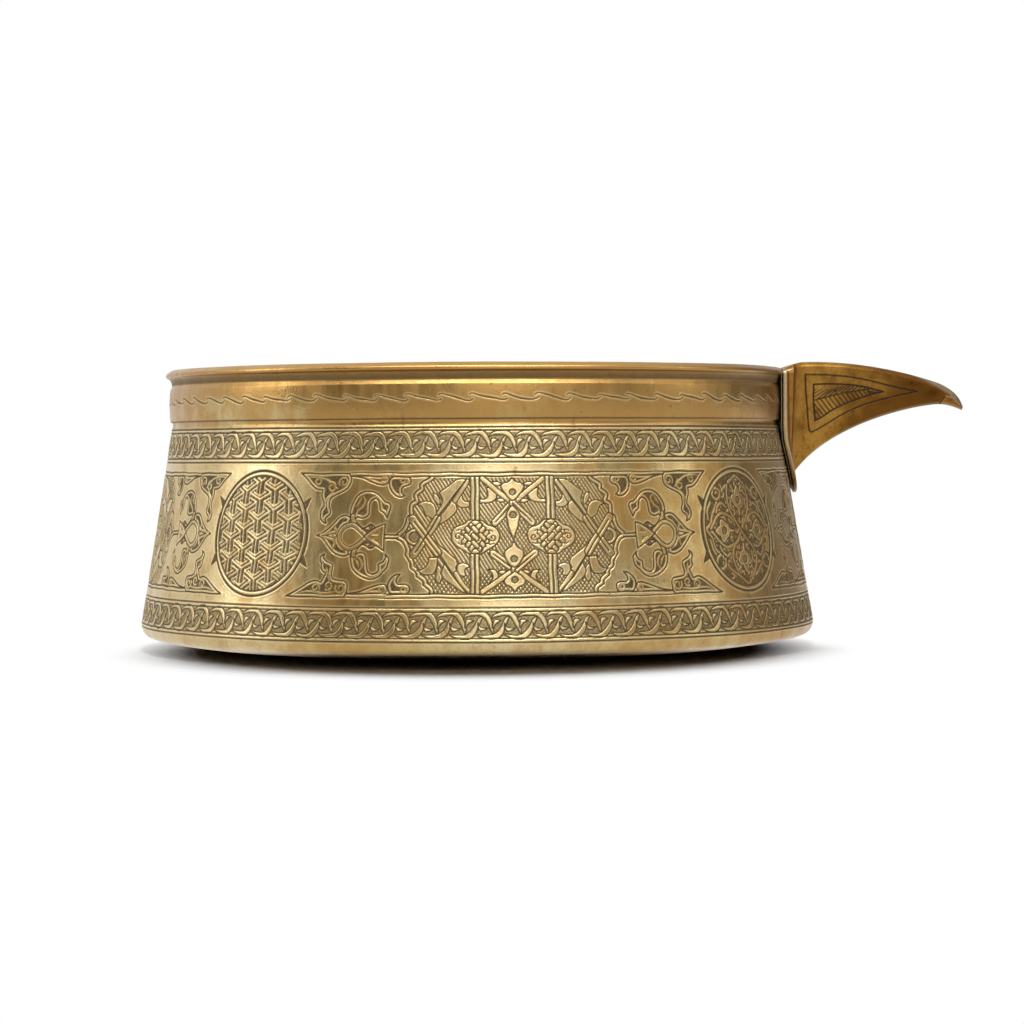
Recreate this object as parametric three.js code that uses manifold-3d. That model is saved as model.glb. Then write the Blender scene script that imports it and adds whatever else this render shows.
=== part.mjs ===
// Low spouted bowl in engraved brass: a turned bowl, a hollow cast beak spout
// with its saddle flange, and the layer of hard solder that holds them together.
// Units are millimetres, +Z is up, the bowl turns about Z and pours along +X.
import * as THREE from 'three';
import { mergeVertices } from 'three/addons/utils/BufferGeometryUtils.js';
import Module from 'manifold-3d';

// Bowl, outside
const footRadius = 100;
const footFullHeight = 7.5;
const footEdgeLift = 3.5;
const footEdgeRound = 3;
const restRadius = 62;
const shoulderRadius = 90.6;
const shoulderHeight = 64.7;
const flareExponent = 1.06;

// Mouldings above the shoulder
const coveHeight = 2;
const coveDepth = 0.4;
const bandHeight = 9.6;
const bandStep = 0.3;
const bandSwell = 0.25;
const beadHeight = 1.1;
const beadStep = 0.4;
const beadGroove = 0.5;
const lipOverhang = 1.6;
const rimHeight = 81.3;
const lipThickness = 3.6;
const lipEdgeHeight = 1;

// Bowl, inside
const wallThickness = 2.1;
const floorThickness = 2.4;
const floorCornerRadius = 6;

// Spout
const spoutReach = 145.7;
const spoutTopHeight = 83.6;
const spoutRootHeight = 51;
const spoutThroatHeight = 71.1;
const spoutTipHeight = 69.4;
const spoutRootHalfWidth = 13.5;
const spoutTipHalfWidth = 2.2;
const spoutKeelShare = 0.45;
const spoutWall = 1.8;
const spoutTipWall = 0.8;
const spoutRootFillet = 2.8;
const spoutEdgeRound = 1.3;
const beakBevelHeight = 2.6;
const beakBevelLength = 16;
const mouthHeight = 1.1;
const mouthHalfWidth = 1.3;

// Saddle flange and solder
const flangeThickness = 1.2;
const flangeMargin = 8.5;
const flangeTail = 6;
const flangeTopDrop = 0.4;
const solderThickness = 0.4;
const solderInset = 0.7;
const contactGap = 0.3;
const lipNotchGap = 0.4;

// Strainer pierced through the wall behind the spout
const strainerHoleRadius = 1.7;
const strainerPitch = 5.2;
const strainerTopDrop = 8;
const strainerRows = 4;

// How finely curves are faceted
const turnSegments = 96;
const wallSteps = 6;
const spoutSections = 26;
const cornerSteps = 4;
const holeSides = 16;

const bandRadius = shoulderRadius + bandStep;
const beadRadius = shoulderRadius + beadStep;
const lipRadius = shoulderRadius + lipOverhang;

const wasm = await Module();
wasm.setup();

// Solids are joined and cut as manifolds, and turned back into geometry at the end.
function toSolid(geometry) {
  const bare = geometry.clone();
  bare.deleteAttribute('normal');
  bare.deleteAttribute('uv');
  const merged = mergeVertices(bare, 1e-4);
  const triVerts = [];
  const index = merged.index.array;
  for (let i = 0; i < index.length; i += 3) {
    const [a, b, c] = [index[i], index[i + 1], index[i + 2]];
    if (a !== b && b !== c && c !== a) triVerts.push(a, b, c);
  }
  return new wasm.Manifold(new wasm.Mesh({
    numProp: 3,
    vertProperties: new Float32Array(merged.attributes.position.array),
    triVerts: new Uint32Array(triVerts),
  }));
}

function toGeometry(solid) {
  const mesh = solid.getMesh();
  const geometry = new THREE.BufferGeometry();
  geometry.setAttribute('position', new THREE.BufferAttribute(mesh.vertProperties, 3));
  geometry.setIndex(new THREE.BufferAttribute(mesh.triVerts, 1));
  geometry.computeVertexNormals();
  return geometry;
}

// A profile of [radius, height] points turned about Z.
function turned(profile) {
  const points = profile.map(([radius, height]) => new THREE.Vector2(radius, height));
  const geometry = new THREE.LatheGeometry(points, turnSegments);
  geometry.rotateX(Math.PI / 2);
  return toSolid(geometry);
}

// Radius of the flared wall at a height, widest at the foot.
function wallRadius(height) {
  const fall = (shoulderHeight - height) / (shoulderHeight - footFullHeight);
  const share = Math.min(Math.max(fall, 0), 1);
  return shoulderRadius + (footRadius - shoulderRadius) * share ** flareExponent;
}

// Radius of the surface that the saddle lies against: the wall, then the band above it.
function seatRadius(height) {
  return Math.max(wallRadius(height), bandRadius + bandSwell);
}

function quadratic(from, control, to, steps) {
  const curve = new THREE.QuadraticBezierCurve(
    new THREE.Vector2(...from), new THREE.Vector2(...control), new THREE.Vector2(...to));
  return curve.getPoints(steps).map((point) => [point.x, point.y]);
}

const coveTop = shoulderHeight + coveHeight;
const bandTop = coveTop + bandHeight;
const beadTop = bandTop + beadHeight;

function outsideProfile() {
  const edgeStart = [footRadius - footEdgeRound, footEdgeLift];
  const edgeEnd = [footRadius, footFullHeight];
  const edgeCorner = [footRadius - 0.1 * footEdgeRound, footEdgeLift + 0.2 * footEdgeRound];
  const bellyTurn = [restRadius + 0.57 * (footRadius - restRadius), 0.2 * footEdgeLift];
  const belly = quadratic([restRadius, 0], bellyTurn, edgeStart, 3);
  const wall = [];
  for (let i = 1; i <= wallSteps; i += 1) {
    const height = footFullHeight + (shoulderHeight - footFullHeight) * (i / wallSteps);
    wall.push([wallRadius(height), height]);
  }
  return [
    [0, 0],
    ...belly,
    ...quadratic(edgeStart, edgeCorner, edgeEnd, 4).slice(1),
    ...wall,
    [shoulderRadius - coveDepth, shoulderHeight + 0.5 * coveHeight],
    [shoulderRadius, coveTop - 0.2],
    [bandRadius, coveTop],
    [bandRadius + bandSwell, coveTop + 0.5 * bandHeight],
    [bandRadius - 0.1, bandTop - 0.2],
    [beadRadius - beadGroove, bandTop],
    [beadRadius, bandTop + 0.35 * beadHeight],
    [beadRadius, bandTop + 0.65 * beadHeight],
    [beadRadius - 0.4, beadTop],
    ...quadratic([beadRadius - 0.4, beadTop + 0.2], [beadRadius - 0.3, rimHeight - 2 * lipEdgeHeight],
      [lipRadius - 0.2, rimHeight - 1.4 * lipEdgeHeight], 3),
    [lipRadius, rimHeight - lipEdgeHeight],
    [lipRadius - 0.15, rimHeight - 0.3 * lipEdgeHeight],
    [lipRadius - 0.6, rimHeight],
  ];
}

function insideProfile() {
  const innerTop = lipRadius - lipThickness;
  const innerWall = [];
  const cornerHeight = footEdgeLift + floorThickness + floorCornerRadius;
  const innerSteps = 0.5 * wallSteps;
  for (let i = 0; i <= innerSteps; i += 1) {
    const height = shoulderHeight + (cornerHeight - shoulderHeight) * (i / innerSteps);
    innerWall.push([wallRadius(height) - wallThickness, height]);
  }
  const cornerStart = innerWall.at(-1);
  const cornerTurn = [cornerStart[0] - 0.1, floorThickness + footEdgeLift];
  const cornerEnd = [cornerStart[0] - 1.2 * floorCornerRadius, floorThickness + 0.6 * footEdgeLift];
  const floorTurn = [restRadius + 0.52 * (footRadius - restRadius), floorThickness];
  return [
    [innerTop + 0.6, rimHeight],
    [innerTop, rimHeight - 0.7],
    [shoulderRadius - wallThickness, bandTop],
    ...innerWall,
    ...quadratic(cornerStart, cornerTurn, cornerEnd, 3).slice(1),
    ...quadratic(cornerEnd, floorTurn, [restRadius, floorThickness], 2).slice(1),
    [0, floorThickness],
  ];
}

// The space out to a given distance beyond the seat, as a full turned body.
function seatBody(offset) {
  const low = spoutRootHeight - 3 * flangeTail;
  const high = spoutTopHeight + flangeTail;
  const steps = 8;
  const profile = [[0, low]];
  for (let i = 0; i <= steps; i += 1) {
    const height = low + (shoulderHeight - low) * (i / steps);
    profile.push([seatRadius(height) + offset, height]);
  }
  profile.push([bandRadius + bandSwell + offset, high], [0, high]);
  return turned(profile);
}

// A flat outline drawn in Y and Z, run along X through the spout side of the bowl.
function throughSpoutSide(shape) {
  const start = 0.7 * footRadius;
  const depth = 0.5 * footRadius;
  const geometry = new THREE.ExtrudeGeometry(shape, { depth, bevelEnabled: false, curveSegments: 7 });
  const axes = new THREE.Matrix4().makeBasis(
    new THREE.Vector3(0, 1, 0), new THREE.Vector3(0, 0, 1), new THREE.Vector3(1, 0, 0));
  geometry.applyMatrix4(axes);
  geometry.translate(start, 0, 0);
  return toSolid(geometry);
}

// Shield outline of the saddle: nearly upright sides drawn in below to a pointed tail.
function saddleShape(inset, top) {
  const half = spoutRootHalfWidth + flangeMargin - inset;
  const tail = spoutRootHeight - flangeTail + 1.6 * inset;
  const waist = tail + 0.55 * (top - tail);
  const rise = waist - tail;
  const shape = new THREE.Shape();
  shape.moveTo(0, tail);
  shape.bezierCurveTo(0.45 * half, tail + 0.1 * rise, 0.9 * half, tail + 0.45 * rise, half, waist);
  shape.lineTo(half, top);
  shape.lineTo(-half, top);
  shape.lineTo(-half, waist);
  shape.bezierCurveTo(-0.9 * half, tail + 0.45 * rise, -0.45 * half, tail + 0.1 * rise, 0, tail);
  return shape;
}

// Side outline of the beak: its back and its underside, each two curves end to end.
function curvePath(start, ...curves) {
  const path = new THREE.Path();
  path.moveTo(...start);
  curves.forEach((points) => path.bezierCurveTo(...points.flat()));
  return path.getPoints(24);
}

const seatAtRoot = seatRadius(spoutRootHeight);
const shoulderEnd = bandRadius + 6;
const breakX = spoutReach - 7.6;
const noseHeight = spoutTopHeight - 6.2;
const back = curvePath(
  [bandRadius - 10, spoutTopHeight - 3.4],
  [[bandRadius, spoutTopHeight - 3.4], [bandRadius + 1.6, spoutTopHeight], [shoulderEnd, spoutTopHeight]],
  [[shoulderEnd + 15, spoutTopHeight + 0.6], [breakX - 11, spoutTopHeight - 2.6], [breakX, noseHeight]],
  [[breakX + 3.6, noseHeight - 1.5], [spoutReach - 0.8, noseHeight - 3.6],
    [spoutReach, spoutTipHeight + 0.7]],
);
const underside = curvePath(
  [bandRadius - 10, spoutRootHeight - 12],
  [[bandRadius, spoutRootHeight - 6], [seatAtRoot, spoutRootHeight - 3],
    [seatAtRoot + 2.2, spoutRootHeight + 0.4]],
  [[seatAtRoot + 12.8, spoutRootHeight + 14.3], [breakX - 8, spoutThroatHeight - 0.4],
    [breakX, spoutThroatHeight]],
  [[breakX + 3, spoutThroatHeight + 0.1], [breakX + 5, spoutTipHeight + 0.9],
    [spoutReach, spoutTipHeight - 0.1]],
);

function heightAt(line, x) {
  const next = line.findIndex((point) => point.x >= x);
  if (next < 0) return line.at(-1).y;
  if (next === 0) return line[0].y;
  const [a, b] = [line[next - 1], line[next]];
  return a.y + (b.y - a.y) * ((x - a.x) / (b.x - a.x));
}

// Width of the beak, swept out into the saddle by the root fillet.
function beakHalfWidth(x) {
  const root = bandRadius + bandSwell + 2 * contactGap + solderThickness + flangeThickness;
  const along = Math.min(Math.max((x - root) / (spoutReach - root), 0), 1);
  const plain = spoutRootHalfWidth + (spoutTipHalfWidth - spoutRootHalfWidth) * along;
  const inFillet = Math.min(Math.max(1 - (x - root) / spoutRootFillet, 0), 1);
  return plain + spoutRootFillet * (1 - Math.sqrt(1 - inFillet ** 2));
}

// One cross-section of the beak: flat sides that draw in to the keel, with rounded corners
// below and, above, corners that open into the bevel of the nose.
function beakSection(x, half, low, high, round, drop, inset) {
  const keel = spoutKeelShare * half;
  const below = Math.min(round, 0.8 * keel);
  const corners = [
    { y: keel - below, z: low + below, ry: below, rz: below, from: -90 },
    { y: half - inset, z: high - drop, ry: inset, rz: drop, from: 0 },
    { y: inset - half, z: high - drop, ry: inset, rz: drop, from: 90 },
    { y: below - keel, z: low + below, ry: below, rz: below, from: 180 },
  ];
  return corners.flatMap((corner) => {
    const points = [];
    for (let i = 0; i <= cornerSteps; i += 1) {
      const angle = THREE.MathUtils.degToRad(corner.from + (90 * i) / cornerSteps);
      const y = corner.y + corner.ry * Math.cos(angle);
      points.push(new THREE.Vector3(x, y, corner.z + corner.rz * Math.sin(angle)));
    }
    return points;
  });
}

// Skin over a row of sections with the same count of points, closed at both ends.
function loft(sections) {
  const size = sections[0].length;
  const vertices = sections.flat();
  const triangles = [];
  for (let i = 0; i + 1 < sections.length; i += 1) {
    for (let j = 0; j < size; j += 1) {
      const [a, b] = [i * size + j, i * size + ((j + 1) % size)];
      triangles.push(a, b, b + size, a, b + size, a + size);
    }
  }
  [sections[0], sections.at(-1)].forEach((section, end) => {
    const centre = vertices.length;
    const first = end === 0 ? 0 : (sections.length - 1) * size;
    const middle = section.reduce((sum, point) => sum.add(point), new THREE.Vector3());
    vertices.push(middle.divideScalar(size));
    for (let j = 0; j < size; j += 1) {
      const [a, b] = [first + j, first + ((j + 1) % size)];
      if (end === 0) triangles.push(centre, b, a);
      else triangles.push(centre, a, b);
    }
  });
  const geometry = new THREE.BufferGeometry().setFromPoints(vertices);
  geometry.setIndex(triangles);
  return toSolid(geometry);
}

const beakStart = bandRadius - 6;
const noseCut = 0.15;

// Places along X, close together where the nose turns down.
function stations(start, end) {
  const places = [];
  for (let i = 0; i <= spoutSections; i += 1) {
    const u = i / spoutSections;
    places.push(start + (end - start) * (1 - (1 - u) ** 1.6));
  }
  return places;
}

function beakOutside() {
  return loft(stations(beakStart, spoutReach - noseCut).map((x) => {
    const half = beakHalfWidth(x);
    const low = heightAt(underside, x);
    const high = heightAt(back, x);
    const bevel = Math.min(Math.max((x - spoutReach) / beakBevelLength + 1, 0), 1);
    const drop = Math.min(spoutEdgeRound + (beakBevelHeight - spoutEdgeRound) * bevel, 0.45 * (high - low));
    const inset = spoutEdgeRound + (0.75 * half - spoutEdgeRound) * bevel;
    return beakSection(x, half, low, high, Math.min(spoutEdgeRound, 0.3 * (high - low)), drop, inset);
  }));
}

function beakInside() {
  const end = spoutReach - 2.4;
  return loft(stations(beakStart - 4, end).map((x) => {
    const along = Math.min(Math.max((x - beakStart) / (end - beakStart), 0), 1);
    const wall = spoutWall + (spoutTipWall - spoutWall) * along;
    const half = Math.min(beakHalfWidth(x), spoutRootHalfWidth) - wall;
    const low = heightAt(underside, x) + 1.3 * wall;
    const high = heightAt(back, x) - wall;
    const round = 0.4 * Math.min(half, spoutEdgeRound);
    return beakSection(x, half, low, high, round, round, round);
  }));
}

// The slot that carries the bore out through the tip of the beak.
function beakMouth() {
  const from = spoutReach - 4;
  const to = spoutReach + 1;
  const low = spoutTipHeight + 0.4;
  const round = 0.3 * mouthHeight;
  return loft([from, to].map((x) => beakSection(x, mouthHalfWidth, low, low + mouthHeight, round, round, round)));
}

const flangeInner = 2 * contactGap + solderThickness;
const flangeOuter = flangeInner + flangeThickness;
const saddleTop = rimHeight - flangeTopDrop;
const noseOfSaddle = seatBody(flangeInner);

function spoutSolid() {
  const saddle = seatBody(flangeOuter).intersect(throughSpoutSide(saddleShape(0, saddleTop)));
  return saddle.add(beakOutside()).subtract(noseOfSaddle).subtract(beakInside()).subtract(beakMouth());
}

// The bore where it passes the solder and the saddle, a little larger all round.
function boreClearance(extra) {
  const half = spoutRootHalfWidth - spoutWall + extra;
  const low = heightAt(underside, seatAtRoot) + 1.3 * spoutWall - extra;
  const high = saddleTop - spoutWall + extra;
  const [start, end] = [0.9 * seatAtRoot, 1.1 * seatAtRoot];
  return loft([start, end].map((x) => beakSection(x, half, low, high, spoutEdgeRound, spoutEdgeRound, spoutEdgeRound)));
}

function solderSolid() {
  const outline = throughSpoutSide(saddleShape(solderInset, saddleTop - solderInset));
  const layer = seatBody(contactGap + solderThickness).intersect(outline);
  return layer.subtract(seatBody(contactGap)).subtract(boreClearance(contactGap));
}

function strainerHole(y, z) {
  const length = 3 * (lipRadius - shoulderRadius + wallThickness + bandSwell);
  const geometry = new THREE.CylinderGeometry(strainerHoleRadius, strainerHoleRadius, length, holeSides);
  geometry.rotateZ(Math.PI / 2);
  geometry.translate(bandRadius, y, z);
  return toSolid(geometry);
}

function bowlSolid() {
  let bowl = turned([...outsideProfile(), ...insideProfile()]);
  const notch = throughSpoutSide(saddleShape(-lipNotchGap, rimHeight + lipEdgeHeight));
  bowl = bowl.subtract(notch.subtract(seatBody(0)));
  for (let row = 0; row < strainerRows; row += 1) {
    const count = strainerRows - row;
    const height = rimHeight - strainerTopDrop - row * strainerPitch * Math.sin(Math.PI / 3);
    for (let i = 0; i < count; i += 1) {
      bowl = bowl.subtract(strainerHole((i - (count - 1) / 2) * strainerPitch, height));
    }
  }
  return bowl;
}

function piece(name, solid, color, roughness) {
  const material = new THREE.MeshStandardMaterial({ color, roughness, metalness: 1 });
  const mesh = new THREE.Mesh(toGeometry(solid), material);
  mesh.name = name;
  return mesh;
}

const spoutedBowl = new THREE.Group();
spoutedBowl.add(piece('bowl_body', bowlSolid(), 0xb79a55, 0.38));
spoutedBowl.add(piece('spout', spoutSolid(), 0xa97a30, 0.42));
spoutedBowl.add(piece('solder_seam', solderSolid(), 0x5d5644, 0.6));

export default spoutedBowl;
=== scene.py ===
# Low spouted bowl in engraved brass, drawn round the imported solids.
# Shapes are worked out in millimetres and scaled to metres when a mesh is made.
import math

import bpy
import numpy as np
from mathutils import Matrix, Vector


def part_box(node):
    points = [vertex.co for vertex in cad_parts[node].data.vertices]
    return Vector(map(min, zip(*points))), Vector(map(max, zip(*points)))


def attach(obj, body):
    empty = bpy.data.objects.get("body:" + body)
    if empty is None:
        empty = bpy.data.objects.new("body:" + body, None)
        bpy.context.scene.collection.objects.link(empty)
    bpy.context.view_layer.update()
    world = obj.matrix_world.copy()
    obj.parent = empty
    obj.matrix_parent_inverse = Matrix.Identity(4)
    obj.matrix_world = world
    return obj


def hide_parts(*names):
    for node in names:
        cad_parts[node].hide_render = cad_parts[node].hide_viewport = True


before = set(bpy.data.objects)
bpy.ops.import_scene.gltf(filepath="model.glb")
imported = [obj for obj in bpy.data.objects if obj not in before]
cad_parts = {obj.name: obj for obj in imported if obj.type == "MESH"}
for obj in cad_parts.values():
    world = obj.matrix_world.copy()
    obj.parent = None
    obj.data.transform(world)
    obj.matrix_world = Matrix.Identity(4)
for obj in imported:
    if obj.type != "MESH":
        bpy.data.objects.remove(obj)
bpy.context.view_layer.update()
body_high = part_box("bowl_body")[1]
spout_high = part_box("spout")[1]

MM = 0.001

# Bowl outside, in millimetres
FOOT_RADIUS = body_high.x / MM
RIM_HEIGHT = body_high.z / MM
LIP_TOP = RIM_HEIGHT + 0.6
FOOT_FULL_HEIGHT = 7.5
FOOT_EDGE_LIFT = 3.5
FOOT_EDGE_ROUND = 3.0
REST_RADIUS = 62.0
SHOULDER_RADIUS = 90.6
SHOULDER_HEIGHT = 64.7
FLARE_EXPONENT = 1.06
BAND_RADIUS = SHOULDER_RADIUS + 0.3
BAND_SWELL = 0.25
BAND_LOW = 66.7
BAND_TOP = 76.3
LIP_RADIUS = SHOULDER_RADIUS + 1.6
LIP_THICKNESS = 3.6
WALL_THICKNESS = 2.1
FLOOR_THICKNESS = 2.4
FLOOR_CORNER = 6.0

# Spout
SPOUT_REACH = spout_high.x / MM
SPOUT_TOP = spout_high.z / MM

# The wall laid flat: along s in millimetres round the bowl, and height z above the table
COLUMNS = 3072
NOMINAL_RADIUS = 95.0
AROUND = 2 * math.pi * NOMINAL_RADIUS
PLATE_LOW = 5.0
PLATE_HIGH = 79.4
PLATE_STEP = 0.2
CURVE_STEP = 0.35
CUT_DEPTH = 0.2
LINE_WIDTH = 0.42
BURR_HEIGHT = 0.04
DEEP_GROUND = 1.7
EYE_GROUND = 1.1
EYE_EDGE = 0.36
LEAF_BORDER = 0.72
VOLUTE_WIDTH = 0.4


def smoothstep(low, high, value):
    share = np.clip((value - low) / (high - low), 0, 1)
    return share * share * (3 - 2 * share)


def soft_noise(rng, shape, cells):
    """Smooth random field between about -1 and 1, of so many cells down and across; its sides meet."""
    down, across = cells
    grid = rng.uniform(-1, 1, (down + 3, across + 3))
    grid[:, across:] = grid[:, :3]
    rows = np.linspace(0, down, shape[0])
    cols = np.linspace(0, across, shape[1], endpoint=False)
    r0 = np.minimum(rows.astype(int), down)
    c0 = np.minimum(cols.astype(int), across)
    fr = smoothstep(0, 1, rows - r0)[:, None]
    fc = smoothstep(0, 1, cols - c0)[None, :]
    top = grid[np.ix_(r0, c0)] * (1 - fc) + grid[np.ix_(r0, c0 + 1)] * fc
    low = grid[np.ix_(r0 + 1, c0)] * (1 - fc) + grid[np.ix_(r0 + 1, c0 + 1)] * fc
    return top * (1 - fr) + low * fr


def spline(padded):
    """Catmull-Rom pieces between the inner points of a padded list."""
    pieces = []
    for p0, p1, p2, p3 in zip(padded, padded[1:], padded[2:], padded[3:]):
        count = max(2, int(np.hypot(*(p2 - p1)) / CURVE_STEP) + 1)
        t = np.linspace(0, 1, count, endpoint=False)[:, None]
        pieces.append(0.5 * (2 * p1 + (p2 - p0) * t + (2 * p0 - 5 * p1 + 4 * p2 - p3) * t**2
                             + (3 * p1 - p0 - 3 * p2 + p3) * t**3))
    return pieces


def curve(points, corners=(), closed=False):
    """Smooth line through points, with sharp turns kept at the numbered corners."""
    points = np.array(points, float)
    if closed and not corners:
        return np.vstack(spline(np.vstack([points[-1:], points, points[:2]])))
    if closed:
        first = min(corners)
        points = np.roll(points, -first, axis=0)
        points = np.vstack([points, points[:1]])
        corners = [c - first for c in corners]
    stops = sorted({0, len(points) - 1, *[c % len(points) for c in corners]})
    pieces = []
    for first, last in zip(stops, stops[1:]):
        part = points[first:last + 1]
        pieces += spline(np.vstack([2 * part[0] - part[1], part, 2 * part[-1] - part[-2]]))
    path = np.vstack([*pieces, points[-1:]])
    return path[:-1] if closed else path


def arc(centre, radius, start, end, grow=1.0):
    """Arc in degrees; with grow it winds in or out as a spiral."""
    count = max(6, int(abs(end - start) / 18))
    angles = np.radians(np.linspace(start, end, count))
    radii = radius * np.linspace(1, grow, count)
    return np.stack([centre[0] + radii * np.cos(angles), centre[1] + radii * np.sin(angles)], 1)


def widths_along(path, widths):
    """Spreads a few widths evenly over a path's points."""
    widths = np.atleast_1d(np.array(widths, float))
    return np.interp(np.linspace(0, 1, len(path)), np.linspace(0, 1, len(widths)), widths)


def looped(outline):
    """A closed outline with its first point again at the end."""
    return np.vstack([outline, outline[:1]])


class Plate:
    """Depth and dirt of the engraving over the unrolled wall."""

    def __init__(self, length, low, high, step_s, step_z, closed):
        self.step = (step_s, step_z)
        self.low = low
        self.left = -0.5 * length
        self.closed = closed
        self.shape = (int(round((high - low) / step_z)) + 1, int(round(length / step_s)))
        self.cut, self.dirt, self.burr, self.hatch, self.ground = np.zeros((5, *self.shape))

    def places(self):
        """Every column's s and every row's z."""
        s = self.left + self.step[0] * np.arange(self.shape[1])
        z = self.low + self.step[1] * np.arange(self.shape[0])
        return s[None, :], z[:, None]

    def window(self, points, margin):
        """Rows and columns of the plate round some points, with each place's s and z."""
        low, high = points.min(0) - margin, points.max(0) + margin
        r0 = max(0, math.floor((low[1] - self.low) / self.step[1]))
        r1 = min(self.shape[0] - 1, math.ceil((high[1] - self.low) / self.step[1]))
        c0 = math.floor((low[0] - self.left) / self.step[0])
        c1 = math.ceil((high[0] - self.left) / self.step[0])
        if not self.closed:
            c0, c1 = max(0, c0), min(self.shape[1] - 1, c1)
        rows = np.arange(r0, max(r1, r0) + 1)
        columns = np.arange(c0, max(c1, c0) + 1)
        s = self.left + columns * self.step[0]
        z = self.low + rows * self.step[1]
        return np.ix_(rows, columns % self.shape[1]), s[None, :], z[:, None]

    def outside(self, points, widths, s, z):
        """How far each place lies outside a line of such widths; negative within it."""
        half = 0.5 * np.broadcast_to(np.asarray(widths, float), (len(points),))
        best = np.full((z.shape[0], s.shape[1]), 1e9)
        for (s0, z0), (s1, z1), h0, h1 in zip(points, points[1:], half, half[1:]):
            ds, dz = s1 - s0, z1 - z0
            length = max(ds * ds + dz * dz, 1e-9)
            t = np.clip(((s - s0) * ds + (z - z0) * dz) / length, 0, 1)
            away = np.hypot(s - s0 - t * ds, z - z0 - t * dz) - (h0 + (h1 - h0) * t)
            np.minimum(best, away, out=best)
        return best

    def within(self, outline, s, z):
        """True where a place lies inside a closed outline."""
        inside = np.zeros((z.shape[0], s.shape[1]), bool)
        for (s0, z0), (s1, z1) in zip(outline, np.roll(outline, -1, axis=0)):
            if z0 != z1:
                crossing = (z0 > z) != (z1 > z)
                inside ^= crossing & (s < (s1 - s0) * (z - z0) / (z1 - z0) + s0)
        return inside

    def smooth_out(self, where, share):
        """Brings a place back to the uncut surface."""
        for layer in (self.cut, self.dirt, self.burr, self.hatch, self.ground):
            layer[where] *= 1 - share

    def clear(self, low, high):
        """Brings a rectangle, from its low to its high corner, back to the uncut surface."""
        where, s, z = self.window(np.array([low, high]), 0)
        self.smooth_out(where, (s >= low[0]) & (s <= high[0]) & (z >= low[1]) & (z <= high[1]))

    def groove(self, where, away, width, depth=1.0, mask=1.0):
        """A graver's line where away is small, with the burr it throws up on both sides."""
        cut = depth * (1 - smoothstep(0.12 * width, 0.75 * width, away)) * mask
        dirt = min(1.0, 0.35 + 0.65 * depth) * (1 - smoothstep(0.25 * width, 0.85 * width, away)) * mask
        burr = depth * np.exp(-((away - width) / (0.38 * width)) ** 2) * mask
        for layer, value in ((self.cut, cut), (self.dirt, dirt), (self.burr, burr)):
            layer[where] = np.maximum(layer[where], value)

    def deepen(self, where, amount):
        """Marks a place as ground that is cut away."""
        self.ground[where] = np.maximum(self.ground[where], amount)

    def line(self, points, width=LINE_WIDTH, depth=1.0, taper=(1.0, 1.0)):
        """A cut line; taper gives its width at both ends as shares of the full width."""
        widths = width * widths_along(points, (taper[0], 1.0, taper[1]))
        where, s, z = self.window(points, 2.5 * width)
        away = np.maximum(self.outside(points, widths - width, s, z), 0)
        self.groove(where, away, width, depth)

    def strap(self, points, widths, edge=0.34):
        """A raised band or leaf left standing between cut edges."""
        where, s, z = self.window(points, float(np.max(widths)) + 3 * edge)
        away = self.outside(points, widths, s, z)
        self.smooth_out(where, 1 - smoothstep(-0.05, 0.15, away))
        self.groove(where, np.abs(away - 0.4 * edge), edge, 1.0, away > -0.3 * edge)

    def pale(self, points, widths):
        """A thin raised line left in a ground that is cut away."""
        where, s, z = self.window(points, float(np.max(widths)) + 0.6)
        away = self.outside(points, widths, s, z)
        self.smooth_out(where, 1 - smoothstep(-0.1, 0.14, away))

    def petal(self, outline, edge=LINE_WIDTH):
        """A plain raised shape in a cut outline; gives its window, inside and distance to the edge."""
        where, s, z = self.window(outline, 3 * edge)
        inside = self.within(outline, s, z)
        away = self.outside(looped(outline), 0, s, z)
        self.smooth_out(where, inside * smoothstep(0, 0.15, away))
        self.groove(where, away, edge)
        return where, inside, away

    def leaf(self, outline):
        """A shape with a raised border inside its cut outline and a cut ground within."""
        where, inside, away = self.petal(outline)
        self.deepen(where, DEEP_GROUND * inside * smoothstep(LEAF_BORDER, LEAF_BORDER + 0.2, away))
        self.groove(where, np.abs(away - LEAF_BORDER - 0.12), 0.3, 0.8, inside)

    def eye(self, centre, radius):
        """A small cut ring, with a cut ground in it."""
        ring = arc(centre, radius, 0, 360)
        self.petal(ring, EYE_EDGE)
        where, s, z = self.window(ring, 0.5)
        away = np.hypot(s - centre[0], z - centre[1])
        self.deepen(where, EYE_GROUND * (1 - smoothstep(radius - 0.35, radius, away)))


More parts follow.
